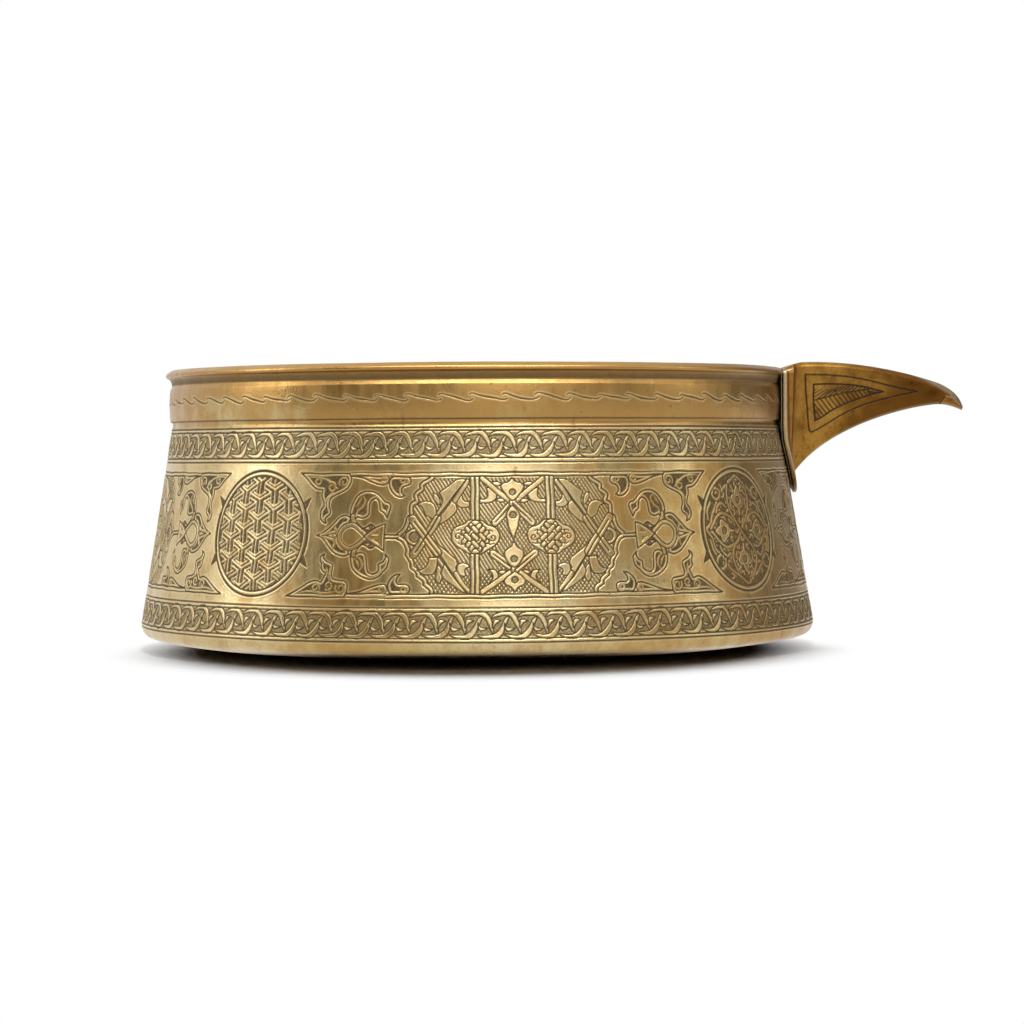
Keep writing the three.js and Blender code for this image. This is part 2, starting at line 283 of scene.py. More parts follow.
class Hand:
    """Draws a motif about its own centre, mirrored or not, with a small unevenness of the hand."""

    def __init__(self, plate, centre, seed, tremor=0.13):
        self.plate = plate
        self.centre = centre
        self.flip = 1
        self.tremor = tremor
        self.phase = np.random.default_rng(seed).uniform(0, 2 * math.pi, 4)

    def mirrored(self):
        twin = Hand(self.plate, self.centre, 0, self.tremor)
        twin.flip = -self.flip
        twin.phase = self.phase[::-1]
        return twin

    def place(self, points):
        points = np.array(points, float).reshape(-1, 2)
        s, z = points[:, 0], points[:, 1]
        shift_s = np.sin(0.31 * s + 0.17 * z + self.phase[0]) + np.sin(0.83 * z - 0.4 * s + self.phase[1])
        shift_z = np.sin(0.27 * s - 0.22 * z + self.phase[2]) + np.sin(0.74 * s + 0.5 * z + self.phase[3])
        return np.stack([self.centre + self.flip * (s + 0.5 * self.tremor * shift_s),
                         z + 0.5 * self.tremor * shift_z], 1)

    def line(self, points, **how):
        self.plate.line(self.place(curve(points)), **how)

    def strap(self, points, widths, **how):
        path = self.place(curve(points))
        self.plate.strap(path, widths_along(path, widths), **how)

    def pale(self, points, widths):
        path = self.place(curve(points))
        self.plate.pale(path, widths_along(path, widths))

    def petal(self, outline, corners=(), **how):
        self.plate.petal(self.place(curve(outline, corners, closed=True)), **how)

    def leaf(self, outline, corners=()):
        self.plate.leaf(self.place(curve(outline, corners, closed=True)))

    def eye(self, centre, radius):
        self.plate.eye(self.place([centre])[0], radius)

    def volute(self, centre, radius, start, turns):
        """A small pale spiral that winds inward."""
        path = arc(centre, 1.15 * radius, start, start + 300 * turns, grow=0.3)
        widths = (VOLUTE_WIDTH, VOLUTE_WIDTH, 0.7 * VOLUTE_WIDTH)
        self.plate.pale(self.place(path), widths_along(path, widths))


# Engraved ornament, all in millimetres: s along the wall from each motif's centre, z above the table
FIELDS = 8
FIRST_CARTOUCHE = math.radians(5.85)
UPPER_BAND = (56.5, 63.0)
LOWER_BAND = (8.5, 15.0)
PANEL = (19.95, 51.2)
ROUNDEL_HEIGHT = 35.8
ROUNDEL_RING = (15.7, 17.0)
SCROLLS_ABOVE = 82
SCROLLS_BELOW = 85
SICKLES = 65
FRET_PITCH = 5.35
FRET_COLUMN = 5.25
FRET_RISE = math.radians(28)
FRET_ARM = 0.83
FRET_ARM_WIDTH = 0.56
FRET_BARB = 0.47
FRET_BARB_WIDTH = 0.46

# Knot: width and reach of its straps, and the crossings where the rising strap lies on top
KNOT_STRAP = 0.95
KNOT_REACH = 2.2
KNOT_OVER = 0.52
KNOT_CROSSINGS = ((-2, 0), (0, 2), (0, 0), (0, -2), (2, 0))

LOBES_ABOVE = [
    (22.3, 51.1), (23, 50.5), (24.5, 49.75), (25.4, 48.9), (25.25, 47.9), (26.5, 47), (27, 46),
    (26.5, 44.75), (27.75, 44), (28.1, 42.5), (28, 41), (28.75, 40.25), (28.9, 39), (29.6, 37.4),
    (31.3, 35.9),
]
LOBES_BELOW = [
    (31.3, 34.5), (30.1, 34.0), (29.25, 33), (28.6, 31.5), (28.75, 30.25), (27.75, 28.75), (27.4, 28),
    (27.25, 26.75), (26, 25.75), (25.75, 24.5), (24.1, 23.25), (24, 22.25), (22.25, 21), (22.25, 19.9),
]
LOBE_CUSPS_ABOVE = (4, 7, 10, 12)
LOBE_CUSPS_BELOW = (4, 6, 9, 11)

SWAN_LEAF_ABOVE = [
    (34.3, 40.1), (34.7, 40.9), (35.2, 41.6), (36.1, 42.2), (36.3, 43.3), (36.6, 44.5), (37.4, 45.2),
    (38.3, 45), (39.1, 44), (39.3, 42.5), (39.4, 41.2), (40, 40.5), (41.3, 40.1), (42.6, 40.5),
    (43.5, 39.5), (44.5, 40.4), (44.8, 42), (44.3, 44), (43, 46), (41.5, 47), (40, 47.3), (38.2, 47),
    (36.8, 46.2), (35.7, 45.2), (34.8, 44.4), (33.8, 44.1), (33.3, 43.3), (33.5, 42),
]
SWAN_LEAF_BELOW = [
    (34.4, 30.6), (34.3, 29.5), (35, 28.5), (36, 28), (36.1, 26.2), (37, 25.5), (38, 25.3), (39, 25.8),
    (39.4, 27), (39.5, 28.5), (39.8, 30), (40.5, 30.8), (41.8, 30.9), (42.6, 30.4), (42.6, 32.4),
    (43.9, 31), (44, 29), (43.3, 26.5), (41.5, 24.9), (39.5, 24.1), (37.8, 23.9), (36, 24.6), (34.8, 25.8),
    (33.7, 26.9), (33.4, 28.3), (33.3, 29.3),
]
FINIAL = [
    (54.6, 35.4), (53, 34.7), (51.3, 33), (49.3, 31), (47.5, 30.1), (46, 29.9), (44.6, 30.4), (45.2, 31.8),
    (46.8, 32.4), (47.8, 33.8), (48, 35.4), (47.6, 37), (46.5, 38.4), (45.2, 38.8), (44.5, 40.2),
    (46, 40.9), (47.8, 40.4), (49.5, 38.7), (51.5, 36.8), (53, 35.9),
]
FINIAL_VEINS = [
    ([(42.9, 40.9), (42.6, 42.2), (41.2, 43.2), (40.5, 44.8), (41.2, 46)], (0.3, 0.55, 0.3)),
    ([(43.2, 43.3), (42.2, 44.6), (41.6, 45.9)], (0.2, 0.5, 0.2)),
    ([(42.3, 30), (41.2, 28.9), (40.8, 27.2), (41.6, 25.9)], (0.3, 0.55, 0.3)),
    ([(43, 29.4), (42.1, 28.2), (41.7, 26.8)], (0.2, 0.5, 0.2)),
    ([(49.4, 38), (48.9, 36.6), (50.6, 36.1), (53.4, 35.6)], (0.5, 0.6, 0.3)),
    ([(49.2, 32.4), (48.9, 33.9), (50.6, 34.6), (53.4, 35.2)], (0.5, 0.6, 0.3)),
]
STEM_HEIGHT = 35.3
STEM_TRIANGLE = [
    (34.7, 38.5), (36.3, 38.1), (38.2, 37.1), (40.6, 35.4), (38.3, 33.5), (36.4, 32.4), (34.9, 31.5),
]
STEM_BUD = [(37.6, 2.5), (38.3, 3.2), (39.1, 3.1), (39.8, 2.5), (41.2, 2), (39.7, 1.7), (38.5, 1.8)]
DROP_LOOP = [
    (39.6, 35.4), (41.6, 37.0), (43.8, 38.4), (46.0, 38.0), (47.5, 36.4), (47.4, 34.1), (46.2, 32.5),
    (44.4, 31.9), (42.5, 32.8), (40.9, 34.2),
]
HOOK_LEAF_ABOVE = [
    (29.5, 46.1), (30.5, 45.7), (31.8, 46), (33, 47), (33.7, 48.3), (33.9, 49.5), (33.5, 50.6),
    (32.4, 51.2), (28.6, 51.2), (28, 50.3), (28, 49.6), (28.5, 49), (29.8, 48.6), (30.4, 47.8),
    (30.3, 46.8),
]
HOOK_LEAF_BELOW = [
    (29.9, 25.4), (31.3, 25.1), (32.6, 24), (33.3, 22.5), (33, 21), (32.4, 20.1), (28.2, 20.1),
    (27.5, 20.8), (27.6, 22), (28.6, 22.6), (30.5, 22.7), (31, 23.5), (30.6, 24.6),
]
LONG_LEAF_ABOVE = [
    (45.2, 51.4), (44, 51.2), (41.5, 50.7), (39, 49.8), (37, 49.1), (35.5, 48.9), (34.4, 49.3),
    (33.9, 50.2), (34.2, 51.2),
]
LONG_LEAF_BELOW = [
    (45.2, 19.9), (41.5, 20.5), (39, 21.3), (37, 22), (35, 22.5), (33.8, 22.3), (33.5, 21.2), (33.9, 20.1),
]
CORNER_ABOVE = [
    (52, 38.6), (53.2, 39.1), (53.9, 40.2), (53.9, 41.8), (53.3, 42.8), (52.9, 43.4), (53.2, 44.5),
    (53.8, 46), (53.7, 47.6), (55.5, 47.9), (57, 48.8), (59, 50.5), (61, 52.1), (46, 52.1), (45.2, 50.9),
    (45.2, 49.6), (46, 48.2), (47.5, 47.3), (49.5, 46.5), (51, 45.5), (51.3, 44.2), (51.2, 43), (50.8, 42),
    (51, 41), (52, 40.4), (52.4, 39.6),
]
CORNER_BELOW = [
    (51.6, 30.6), (52.7, 29.9), (52.8, 28.9), (52.3, 27.8), (52.4, 26.7), (51.8, 25.8), (51.0, 25.3),
    (51.5, 24.2), (52.2, 23), (53.2, 23.3), (54.3, 23.4), (55.8, 22.9), (58, 21.6), (60.5, 20.1),
    (62.6, 19), (45.4, 19), (44.8, 20.1), (44.6, 21.3), (44.7, 22.5), (45.5, 23.3), (47.3, 23.6),
    (48.8, 24), (49.2, 25), (49, 26.3), (49, 27.5), (49.9, 28.1), (51, 28.6), (51.9, 29.5),
]
PANEL_LEAVES = [
    (HOOK_LEAF_ABOVE, (0, 8)),
    (HOOK_LEAF_BELOW, (0, 5, 6)),
    (LONG_LEAF_ABOVE, (0, 8)),
    (LONG_LEAF_BELOW, (0, 7)),
    (CORNER_ABOVE, (0, 8, 12, 13)),
    (CORNER_BELOW, (0, 14, 15)),
]

# Volutes as centre, radius, first angle and turns
PANEL_VOLUTES = [
    ((30, 50.2), 1.0, 200, -1.4),
    ((29, 21.3), 0.95, 180, 1.4),
    ((35.4, 50.3), 0.95, 200, -1.4),
    ((34.8, 21.2), 0.9, 180, 1.4),
    ((47.2, 49.8), 1.3, 330, 1.4),
    ((51.0, 48.4), 1.3, 60, 1.4),
    ((55.4, 50.1), 1.1, 100, 1.3),
    ((46.5, 21.4), 1.3, 30, -1.4),
    ((50.0, 22.2), 1.1, 300, -1.3),
    ((53.6, 21.4), 1.1, 200, -1.3),
]
CORNER_VEINS = [
    ([(52.6, 43.9), (52, 45.6), (50.6, 47)], (0.2, 0.5, 0.3)),
    ([(49.2, 48), (52, 50.2), (55, 51.1), (58.5, 51)], (0.3, 0.5, 0.4, 0.2)),
    ([(50.8, 27), (50.4, 25.4), (49.8, 23.6)], (0.2, 0.5, 0.3)),
    ([(47.9, 20.5), (51.5, 20.2), (56, 20.5), (59, 20)], (0.3, 0.45, 0.4, 0.2)),
]

LOBE_BUD = [
    (24.1, 35.2), (25.2, 37), (26.8, 37.4), (28.5, 36.4), (29.2, 35.1), (28.3, 33.7), (26.6, 32.8),
    (25.2, 33.5),
]

# Half-palmettes and buds inside the cartouche, with the numbers of their sharp corners
PALMETTES = [
    ([(12.4, 50.6), (15.2, 50.3), (17.6, 48.5), (19.9, 46.9), (19.2, 45.3), (19.3, 43.7), (20.4, 41.7),
      (21.4, 39.9), (20.2, 39.3), (16.3, 45.2)], (0, 3, 7, 8)),
    ([(21.6, 46.8), (20.6, 46.4), (19.9, 45.1), (19.6, 43.3), (20.5, 43.9), (21.5, 45.2)], (0, 3)),
    ([(26, 43.7), (24, 44.6), (22, 44.3), (20.9, 43), (20.6, 41.2), (21.5, 39.6), (22.5, 40.4),
      (23.5, 40.9), (24, 42.2), (24.7, 43.3)], (0, 5)),
    ([(22.3, 36.6), (20.1, 38.2), (17.7, 39.6), (15.9, 41.2), (15.2, 42.6), (15.7, 44.4), (16.2, 45.2),
      (19.4, 40.8)], (0, 5, 6)),
    ([(15.8, 44.9), (15.5, 46.2), (14.6, 46.8), (13.7, 46.1), (13.5, 45.2), (12.7, 44.5), (11.7, 44.5),
      (11.7, 43.2), (13.2, 42.8), (14.9, 43.3)], (2, 6, 7)),
    ([(22.6, 29.7), (20.3, 29.7), (20.4, 27.2), (21.2, 25.4), (22.6, 25), (24.2, 25.2), (25.6, 26.3),
      (24.2, 26.5), (23.1, 27.4), (22.7, 28.6)], (0, 1, 6)),
    ([(20.2, 28), (19.1, 26.6), (18.8, 24.6), (19.6, 22.8), (20.6, 23.7), (20.5, 25.6)], (0, 3)),
    ([(22.5, 35.7), (20.4, 33.5), (18.3, 31.7), (15.2, 29.2), (14.9, 28), (15.4, 26.9), (14.6, 25.6),
      (16.2, 25.5), (19.8, 30.6)], (0, 3, 6, 7)),
    ([(15, 27.5), (13.6, 28.2), (12.1, 27.8), (11.5, 27), (12.6, 26.8), (13, 26), (12.6, 24.9),
      (13.6, 24.7), (14.9, 25.6)], (2, 3, 6)),
    ([(19.3, 25.7), (18.5, 24.2), (17, 23), (13.6, 20.6), (12.4, 20.4), (15.8, 24.6), (18.4, 28.2)],
      (0, 3, 4, 6)),
    ([(7.2, 48.1), (5.4, 48), (4.3, 46.7), (4.6, 45.2), (6.2, 44.3), (9, 44.1), (9, 45.2), (7.7, 45.1),
      (6.9, 46), (7, 47.1)], (0, 5, 6)),
    ([(6.9, 26.4), (5, 26.2), (4.2, 25), (4.4, 23.5), (6, 22.1), (6.7, 22.9), (5.9, 23.9), (5.9, 25.2)],
      (0, 4, 5)),
    ([(1.5, 44.6), (3, 45.3), (4.9, 45), (3.2, 44.2)], (0, 2)),
    ([(2.6, 49), (4.2, 49.7), (6.1, 49.5), (4.4, 48.6)], (0, 2)),
    ([(1.6, 26), (3.2, 26.2), (4.6, 25.6), (3, 25.1)], (0, 2)),
]
BUDS = [
    ([(0, 50.7), (1, 49.7), (2.4, 49.3), (3.2, 48.4), (2.7, 47.2), (1.9, 46.3), (1.1, 45.3), (0, 44.6)],
      (0, 4), (0, 47.0), 1.1),
    ([(0, 43.4), (1.2, 42.2), (1.9, 40.7), (1.6, 39.2), (1.5, 38.1), (0.8, 36.4), (0, 34.3)], (0,),
      (0, 40.9), 1.2),
    ([(0, 34), (0.9, 32.4), (2.4, 31.4), (2.8, 30.3), (2.0, 28.8), (1, 27.4), (0, 26.9)], (0, 3), (0, 29.1),
      1.15),
    ([(0, 25.9), (1.1, 25.1), (2, 24.5), (3, 23.3), (2.4, 22.3), (1.1, 21.8), (0, 20.4)], (0, 3), (0, 23.7),
      1.1),
]


def field_centre(index):
    """Distance along the wall to the middle of a field, the first being the near cartouche."""
    return NOMINAL_RADIUS * (FIRST_CARTOUCHE + 2 * math.pi * index / FIELDS)


def mirrored_outline(half):
    """Closes a right-hand outline that starts and ends on the middle line by its mirror image."""
    half = np.array(half, float)
    return np.vstack([half, half[-2:0:-1] * (-1, 1)])


def cartouche_ground(plate, hands):
    """The lobed double outline, with the hatched ground inside it."""
    for hand in hands:
        halves = [curve(LOBES_ABOVE, LOBE_CUSPS_ABOVE), curve(LOBES_BELOW, LOBE_CUSPS_BELOW)]
        whole = hand.place(np.vstack([[(0, 51.1)], *halves, [(0, 19.9)]]))
        where, s, z = plate.window(whole, 1.5)
        inside = plate.within(whole, s, z)
        away = np.minimum(*(plate.outside(hand.place(half), 0, s, z) for half in halves))
        plate.groove(where, away, LINE_WIDTH)
        inner = inside & (z > 20) & (z < 51)
        plate.groove(where, np.abs(away - 1.05), 0.9 * LINE_WIDTH, 1.0, inner)
        body = inner & (z > 20.3) & (z < 50.7)
        plate.hatch[where] = np.maximum(plate.hatch[where], body * smoothstep(1.1, 1.3, away))


def knot(hand, centre):
    """A cloud-shaped field with a plait of crossing straps, looped at both ends, and a curl on each side."""
    x, z = centre

    def at(points):
        return [(x + u, z + v) for u, v in points]

    def plait(points):
        hand.strap(at(points), KNOT_STRAP, edge=0.3)

    cloud = [(0, 4.5), (1.7, 4.5), (3.3, 3.3), (5.4, 2.5), (6.5, 1.0), (6.3, -0.9), (5.1, -2.3), (3.2, -3.4),
             (1.7, -4.4), (0, -4.5)]
    hand.petal(at(mirrored_outline(cloud)), edge=0.36)
    for end in (1, -1):
        plait([(-1.7, end * 2.3), (-1.1, end * 3.5), (0.1, end * 3.9), (1.1, end * 3.4), (1.6, end * 2.4)])
    for lean in (1, -1):
        for u in (-1, 0, 1):
            v = -lean * u
            plait([(u - KNOT_REACH, v - lean * KNOT_REACH), (u + KNOT_REACH, v + lean * KNOT_REACH)])
    for u, v in KNOT_CROSSINGS:
        plait([(u - KNOT_OVER, v - KNOT_OVER), (u + KNOT_OVER, v + KNOT_OVER)])
    for side in (1, -1):
        curl = arc((0, 0), 1.0, 160, -230, grow=0.25) * (side, side) + (x + side * 4.7, z + side * 0.1)
        hand.plate.line(hand.place(curl), width=0.32, depth=0.9)
        for rib in ([(3.3, 1.7), (4.1, 1.9), (5.0, 1.6)], [(3.0, -1.7), (3.8, -1.9), (4.6, -1.5)]):
            hand.line(at([(side * u, side * v) for u, v in rib]), width=0.3, depth=0.9)


def cartouche(plate, centre, seed):
    right = Hand(plate, centre, seed)
    hands = (right, right.mirrored())
    cartouche_ground(plate, hands)
    for hand in hands:
        for outline, corners in PALMETTES:
            hand.petal(outline, corners, edge=0.34)
        for strip in ([(15.7, 44.7), (14.2, 47.0), (12.4, 49.9)], [(15.3, 25.4), (13.6, 22.9), (12.0, 20.9)]):
            hand.strap(strip, 1.0, edge=0.3)
        hand.petal(LOBE_BUD, (0, 4))
        hand.eye((26.5, 35.1), 1.35)
    for hand in hands:
        for path in ([(20.4, 39.8), (23.4, 35.2), (26.6, 30.4)], [(27.1, 40), (23.4, 35.2), (20.3, 31)]):
            hand.strap(path, 1.9)
        hand.line([(12.5, 50.6), (16, 46), (20, 40.6), (23.4, 35.2), (26.2, 31.0)])
        hand.line([(26.7, 39.4), (23.4, 35.2), (20, 30.5), (16, 24.8), (12.2, 20.4)])
        for path in ([(10.3, 51.6), (10.3, 38.9)], [(10.3, 31.2), (10.3, 19.4)]):
            hand.strap(path, 2.2)
            hand.line(path)
        for top in ([(8.3, 50.6), (0, 43.9)], [(8.4, 20.6), (0, 26.4)]):
            hand.strap(top, 1.15)
        for bottom in ([(0, 43.9), (-5, 38.9)], [(0, 26.4), (-5.6, 30.7)]):
            hand.strap(bottom, 1.75)
            hand.line(bottom, taper=(1, 0.6))
    for hand in hands:
        knot(hand, (10.2, 35.0))
    for outline, corners, eye, radius in BUDS:
        whole = mirrored_outline(outline)
        tips = {*corners, len(outline) - 1, *((len(whole) - c) % len(whole) for c in corners)}
        right.petal(whole, sorted(tips), edge=0.36)
        right.eye(eye, 0.72 * radius)
    for low, high in ((PANEL[0] - 2.4, PANEL[0]), (PANEL[1], PANEL[1] + 2.4)):
        plate.clear((centre - 15, low), (centre + 15, high))


def side_finial(hand):
    """The stem, triangle, drop loop, swan-neck leaves and pointed bud beside a cartouche."""
    for z, width in ((35.65, 0.42), (34.75, 0.46)):
        hand.line([(31, z), (33, z), (35, z)], width=width)
    for outline, turn in ((SWAN_LEAF_ABOVE, 13), (SWAN_LEAF_BELOW, 13), (FINIAL, 6)):
        hand.leaf(outline, (0, turn, 14))
    for vein, widths in FINIAL_VEINS:
        hand.pale(vein, widths)
    hand.petal([(48.3, 35.4), (49.3, 35.9), (51.8, 35.4), (49.3, 34.8)], (0, 2), edge=0.3)
    hand.strap([(39.2, 35.7), (42, 37.6), (43.6, 39.4), (43.9, 40.8)], [0.8, 0.9])
    hand.strap([(39.2, 35), (41.6, 33.4), (42.9, 31.6), (43.2, 30.2)], [0.8, 0.9])
    hand.plate.strap(hand.place(looped(curve(DROP_LOOP, (0,), closed=True))), 0.85)
    hand.petal(STEM_TRIANGLE, (0, 3, 6))
    for side in (1, -1):
        flag = [(s, STEM_HEIGHT + side * up) for s, up in ((36.2, 2.1), (36.2, 0.5), (38.4, 0.5))]
        outline = hand.place(flag)
        where, s, z = hand.plate.window(outline, 0.5)
        hand.plate.deepen(where, hand.plate.within(outline, s, z))
        hand.petal([(s, STEM_HEIGHT + side * up) for s, up in STEM_BUD], (4,))
        hand.eye((38.7, STEM_HEIGHT + side * 2.6), 0.42)


def panel_leaves(hand):
    """Leaves that grow from the frame lines on one side of a cartouche."""
    for outline, corners in PANEL_LEAVES:
        hand.leaf(outline, corners)
    for volute in PANEL_VOLUTES:
        hand.volute(*volute)
    for vein, widths in CORNER_VEINS:
        hand.pale(vein, widths)


def frame_lines(hand):
    """The double lines above and below a cartouche and its side leaves."""
    for z, inner, outer, reach in ((PANEL[1], 33.5, 1, 61.2), (PANEL[0], 33.5, -1, 62.8)):
        hand.line([(s, z) for s in (-inner, -15, 0, 15, inner)])
        hand.line([(s, z + outer) for s in (-reach, -30, 0, 30, reach)], width=0.5, taper=(0.3, 0.3))


# Horns on a roundel's sides, from its middle: tip, hollow, ring, ring, back
HORN_ABOVE = [(17.4, 9.7), (15.9, 8.9), (14.9, 8.2), (15.9, 6.4), (16.6, 7.9)]
HORN_BELOW = [(17.7, -8.9), (16.2, -8.1), (15.2, -7.5), (16.2, -5.6), (16.9, -7.1)]


def roundel_ring(hand):
    """The double ring of a roundel, with the four dark horns on its sides."""
    plate = hand.plate
    inner, outer = ROUNDEL_RING
    ring = hand.place(arc((0, ROUNDEL_HEIGHT), outer, 0, 360))
    where, s, z = plate.window(ring, 3)
    away = np.hypot(s - hand.centre, z - ROUNDEL_HEIGHT)
    plate.smooth_out(where, smoothstep(inner - 0.1, inner + 0.1, away) * (away < outer + 2.5))
    for side in (1, -1):
        for horn in (HORN_ABOVE, HORN_BELOW):
            points = [(side * u, ROUNDEL_HEIGHT + v) for u, v in horn]
            outline = hand.place(curve(points, (0, 2, 3), closed=True))
            spot, hs, hz = plate.window(outline, 0.6)
            inside = plate.within(outline, hs, hz)
            plate.deepen(spot, DEEP_GROUND * inside)
            plate.groove(spot, plate.outside(looped(outline), 0, hs, hz), 0.3, 0.9)
    band = (away > inner - 0.1) & (away < outer + 0.15)
    plate.smooth_out(where, band)
    heavy = 0.3 * (np.abs(z - ROUNDEL_HEIGHT) < 5.5) * (np.abs(s - hand.centre) > 12)
    plate.groove(where, np.abs(away - outer), 0.6 + heavy, 1.0)
    plate.groove(where, np.abs(away - inner), 0.4, 1.0)


def roundel_ground(hand, depth):
    ring = hand.place(arc((0, ROUNDEL_HEIGHT), ROUNDEL_RING[0], 0, 360))
    where, s, z = hand.plate.window(ring, 1)
    away = np.hypot(s - hand.centre, z - ROUNDEL_HEIGHT)
    hand.plate.deepen(where, depth * (1 - smoothstep(ROUNDEL_RING[0] - 0.2, ROUNDEL_RING[0], away)))


def fret_line(hand, start, end, width):
    """A straight pale ridge, kept inside the roundel's ring."""
    path = np.linspace(start, end, 7)
    near = np.hypot(path[:, 0], path[:, 1] - ROUNDEL_HEIGHT) < ROUNDEL_RING[0] - 0.25
    if near.sum() > 1:
        hand.plate.pale(hand.place(path[near]), width)


def fret_roundel(plate, centre, seed):
    """Interlocking three-armed figures, each arm ending in a pair of barbs."""
    hand = Hand(plate, centre, seed, tremor=0.22)
    roundel_ground(hand, DEEP_GROUND)
    down = np.array([0.0, -1.0])
    right = np.array([math.cos(FRET_RISE), math.sin(FRET_RISE)])
    left = right * (-1, 1)
    arms = ((down, left, right), (right, down, left), (left, down, right))
    for column in range(-3, 4):
        for row in range(-4, 5):
            s = column * FRET_COLUMN - 0.1
            offset = 0.5 * FRET_PITCH * (column % 2)
            z = ROUNDEL_HEIGHT - 1.6 + row * FRET_PITCH + offset
            lean = 0.045 * min(1.0, 1 - s / 12)
            branch = np.array([s + lean * (ROUNDEL_HEIGHT - z), z])
            for arm, *barbs in arms:
                end = branch + FRET_ARM * FRET_PITCH * arm
                fret_line(hand, branch, end, FRET_ARM_WIDTH)
                for barb in barbs:
                    fret_line(hand, end, end + FRET_BARB * FRET_PITCH * barb, FRET_BARB_WIDTH)
    roundel_ring(hand)


FILLER_ROWS = 13
BUD_IN_ROUNDEL = [
    (0, 4.4), (1.1, 2.9), (1.5, 1.9), (2.6, 1.6), (3.4, 0.5), (2.5, -0.8), (1.8, -2.0), (0.7, -2.7),
    (0.4, -4.6),
]
VINES = [
    [(0, 50.7), (4, 48.5), (8, 46), (9.3, 44.5), (12, 40.5), (13.5, 37.5), (15.2, 36), (13.5, 33.5),
      (12.8, 31), (10.5, 28.8), (9.2, 27), (6.5, 24.5), (3, 22.5), (0.4, 20.9)],
    [(13.7, 36), (10, 39.8), (7.5, 40.5), (5, 39.6), (2.6, 37.8), (0, 35.9), (-2, 33.8), (-4, 31.9),
      (-7.5, 31.1), (-10, 32.3), (-13.7, 35.6)],
    [(4.4, 48), (5, 46), (4.8, 43), (4, 40.5), (2.2, 38), (0, 35.6), (-2.2, 33), (-4.4, 31.2), (-5.6, 28.6),
      (-4.6, 25.2), (-2, 22)],
    [(9.8, 47.6), (8.3, 46.9), (8.2, 45.2), (9.8, 44.4), (11.3, 45.6), (10.8, 47.2), (9.8, 47.6)],
    [(10.8, 28.9), (12.4, 28), (12.6, 26), (11, 25), (9.3, 25.8), (9, 27.6)],
    [(2.8, 47.8), (1.9, 46.4), (3.3, 44.2), (3.6, 41.8)],
    [(3.4, 24.6), (2.4, 26), (3.6, 27.7), (3.7, 29.6)],
    [(12.6, 43.6), (14, 41.4), (14.2, 38.8)],
    [(14.2, 33), (13.7, 30.6), (12.9, 29.3)],
    [(6.2, 42.2), (7.8, 43.2), (9.8, 42.4), (10.6, 40.6)],
    [(6.4, 29.2), (8, 28.6), (9.7, 29.7), (10.6, 31.3)],
]


def filler(hand, rng):
    """Tiny curled leaf strokes that fill the ground between the vines."""
    pitch = 2 * ROUNDEL_RING[0] / FILLER_ROWS
    first = 0.5 * (FILLER_ROWS - 1)
    for row in range(FILLER_ROWS):
        for column in range(FILLER_ROWS):
            s = (column - first) * pitch + rng.uniform(-0.45, 0.45)
            z = (row - first) * pitch + rng.uniform(-0.5, 0.5)
            turn = rng.uniform(0, 360)
            bend = rng.choice([-1, 1])
            if math.hypot(s, z) < ROUNDEL_RING[0] - 1.3:
                path = arc((s, ROUNDEL_HEIGHT + z), 0.95, turn, turn + bend * 230, grow=0.4)
                hand.plate.pale(hand.place(path), widths_along(path, [0.3, 0.62, 0.4]))


def arabesque_roundel(plate, centre, seed):
    """Four eyed buds on two interlaced vines, inside the ring."""
    right = Hand(plate, centre, seed, tremor=0.2)
    left = right.mirrored()
    roundel_ground(right, 1.5)
    filler(right, np.random.default_rng(seed + 50))
    for hand in (right, left):
        for vine in VINES:
            hand.strap(vine, 0.85, edge=0.3)
    whole = mirrored_outline([*BUD_IN_ROUNDEL, (0, -4.7)])
    count = len(whole)
    corners = sorted({0, 4, count - 4, 2, count - 2})
    for s, z, dx, dz in ((0, 44, 0, 1), (-8.1, 35.5, -1, 0), (8.1, 35.5, 1, 0), (-0.2, 27.7, 0, -1)):
        turned = [(s + u * dz + v * dx, z - u * dx + v * dz) for u, v in whole]
        right.petal(turned, corners, edge=0.38)
        right.eye((s, z), 0.95)
    roundel_ring(right)


def band_ground(plate, low, high):
    z = plate.places()[1]
    plate.deepen(slice(None), smoothstep(low, low + 0.25, z) * (1 - smoothstep(high - 0.25, high, z)))


# One scroll of a band, drawn 7.28 long and 6.5 high from a height of 56.5
RISING_WIDTHS = (0.15, 0.5, 0.7, 0.85, 1.05, 1.3, 1.25, 0.9, 0.8, 0.8, 0.2)
FALLING_WIDTHS = (0.15, 0.5, 0.75, 0.9, 1.15, 1.15, 0.95, 0.75, 0.2)
SCROLL_LENGTH, SCROLL_HEIGHT, SCROLL_BASE = 7.28, 6.5, 56.5
RISING_STEM = [
    (-7.2, 57.3), (-6.2, 56.95), (-5, 56.75), (-3.5, 56.7), (-2.4, 56.95), (-1.6, 57.5), (-0.95, 58.3),
    (-0.45, 59.4), (0, 60.4), (0.4, 61.2), (0.95, 61.9),
]
RISING_LEAF = [
    (0, 60.35), (0.4, 59.6), (1.2, 59.05), (2.76, 58.95), (1.97, 58.45), (0.95, 58.2), (0.4, 58.4),
    (0.1, 59.2),
]
FALLING_STEM = [
    (-7.5, 61.9), (-6.6, 62.5), (-4.7, 62.85), (-2.9, 62.85), (-1.84, 62.2), (-1.2, 61.2), (-0.66, 59.9),
    (-0.26, 58.8), (0, 57.75),
]
FALLING_LEAF = [
    (-0.15, 58.95), (-0.1, 60.2), (0.16, 61.05), (0.92, 61.3), (2.24, 60.95), (1.2, 60.4), (0.53, 59.75),
    (0.1, 58.9),
]


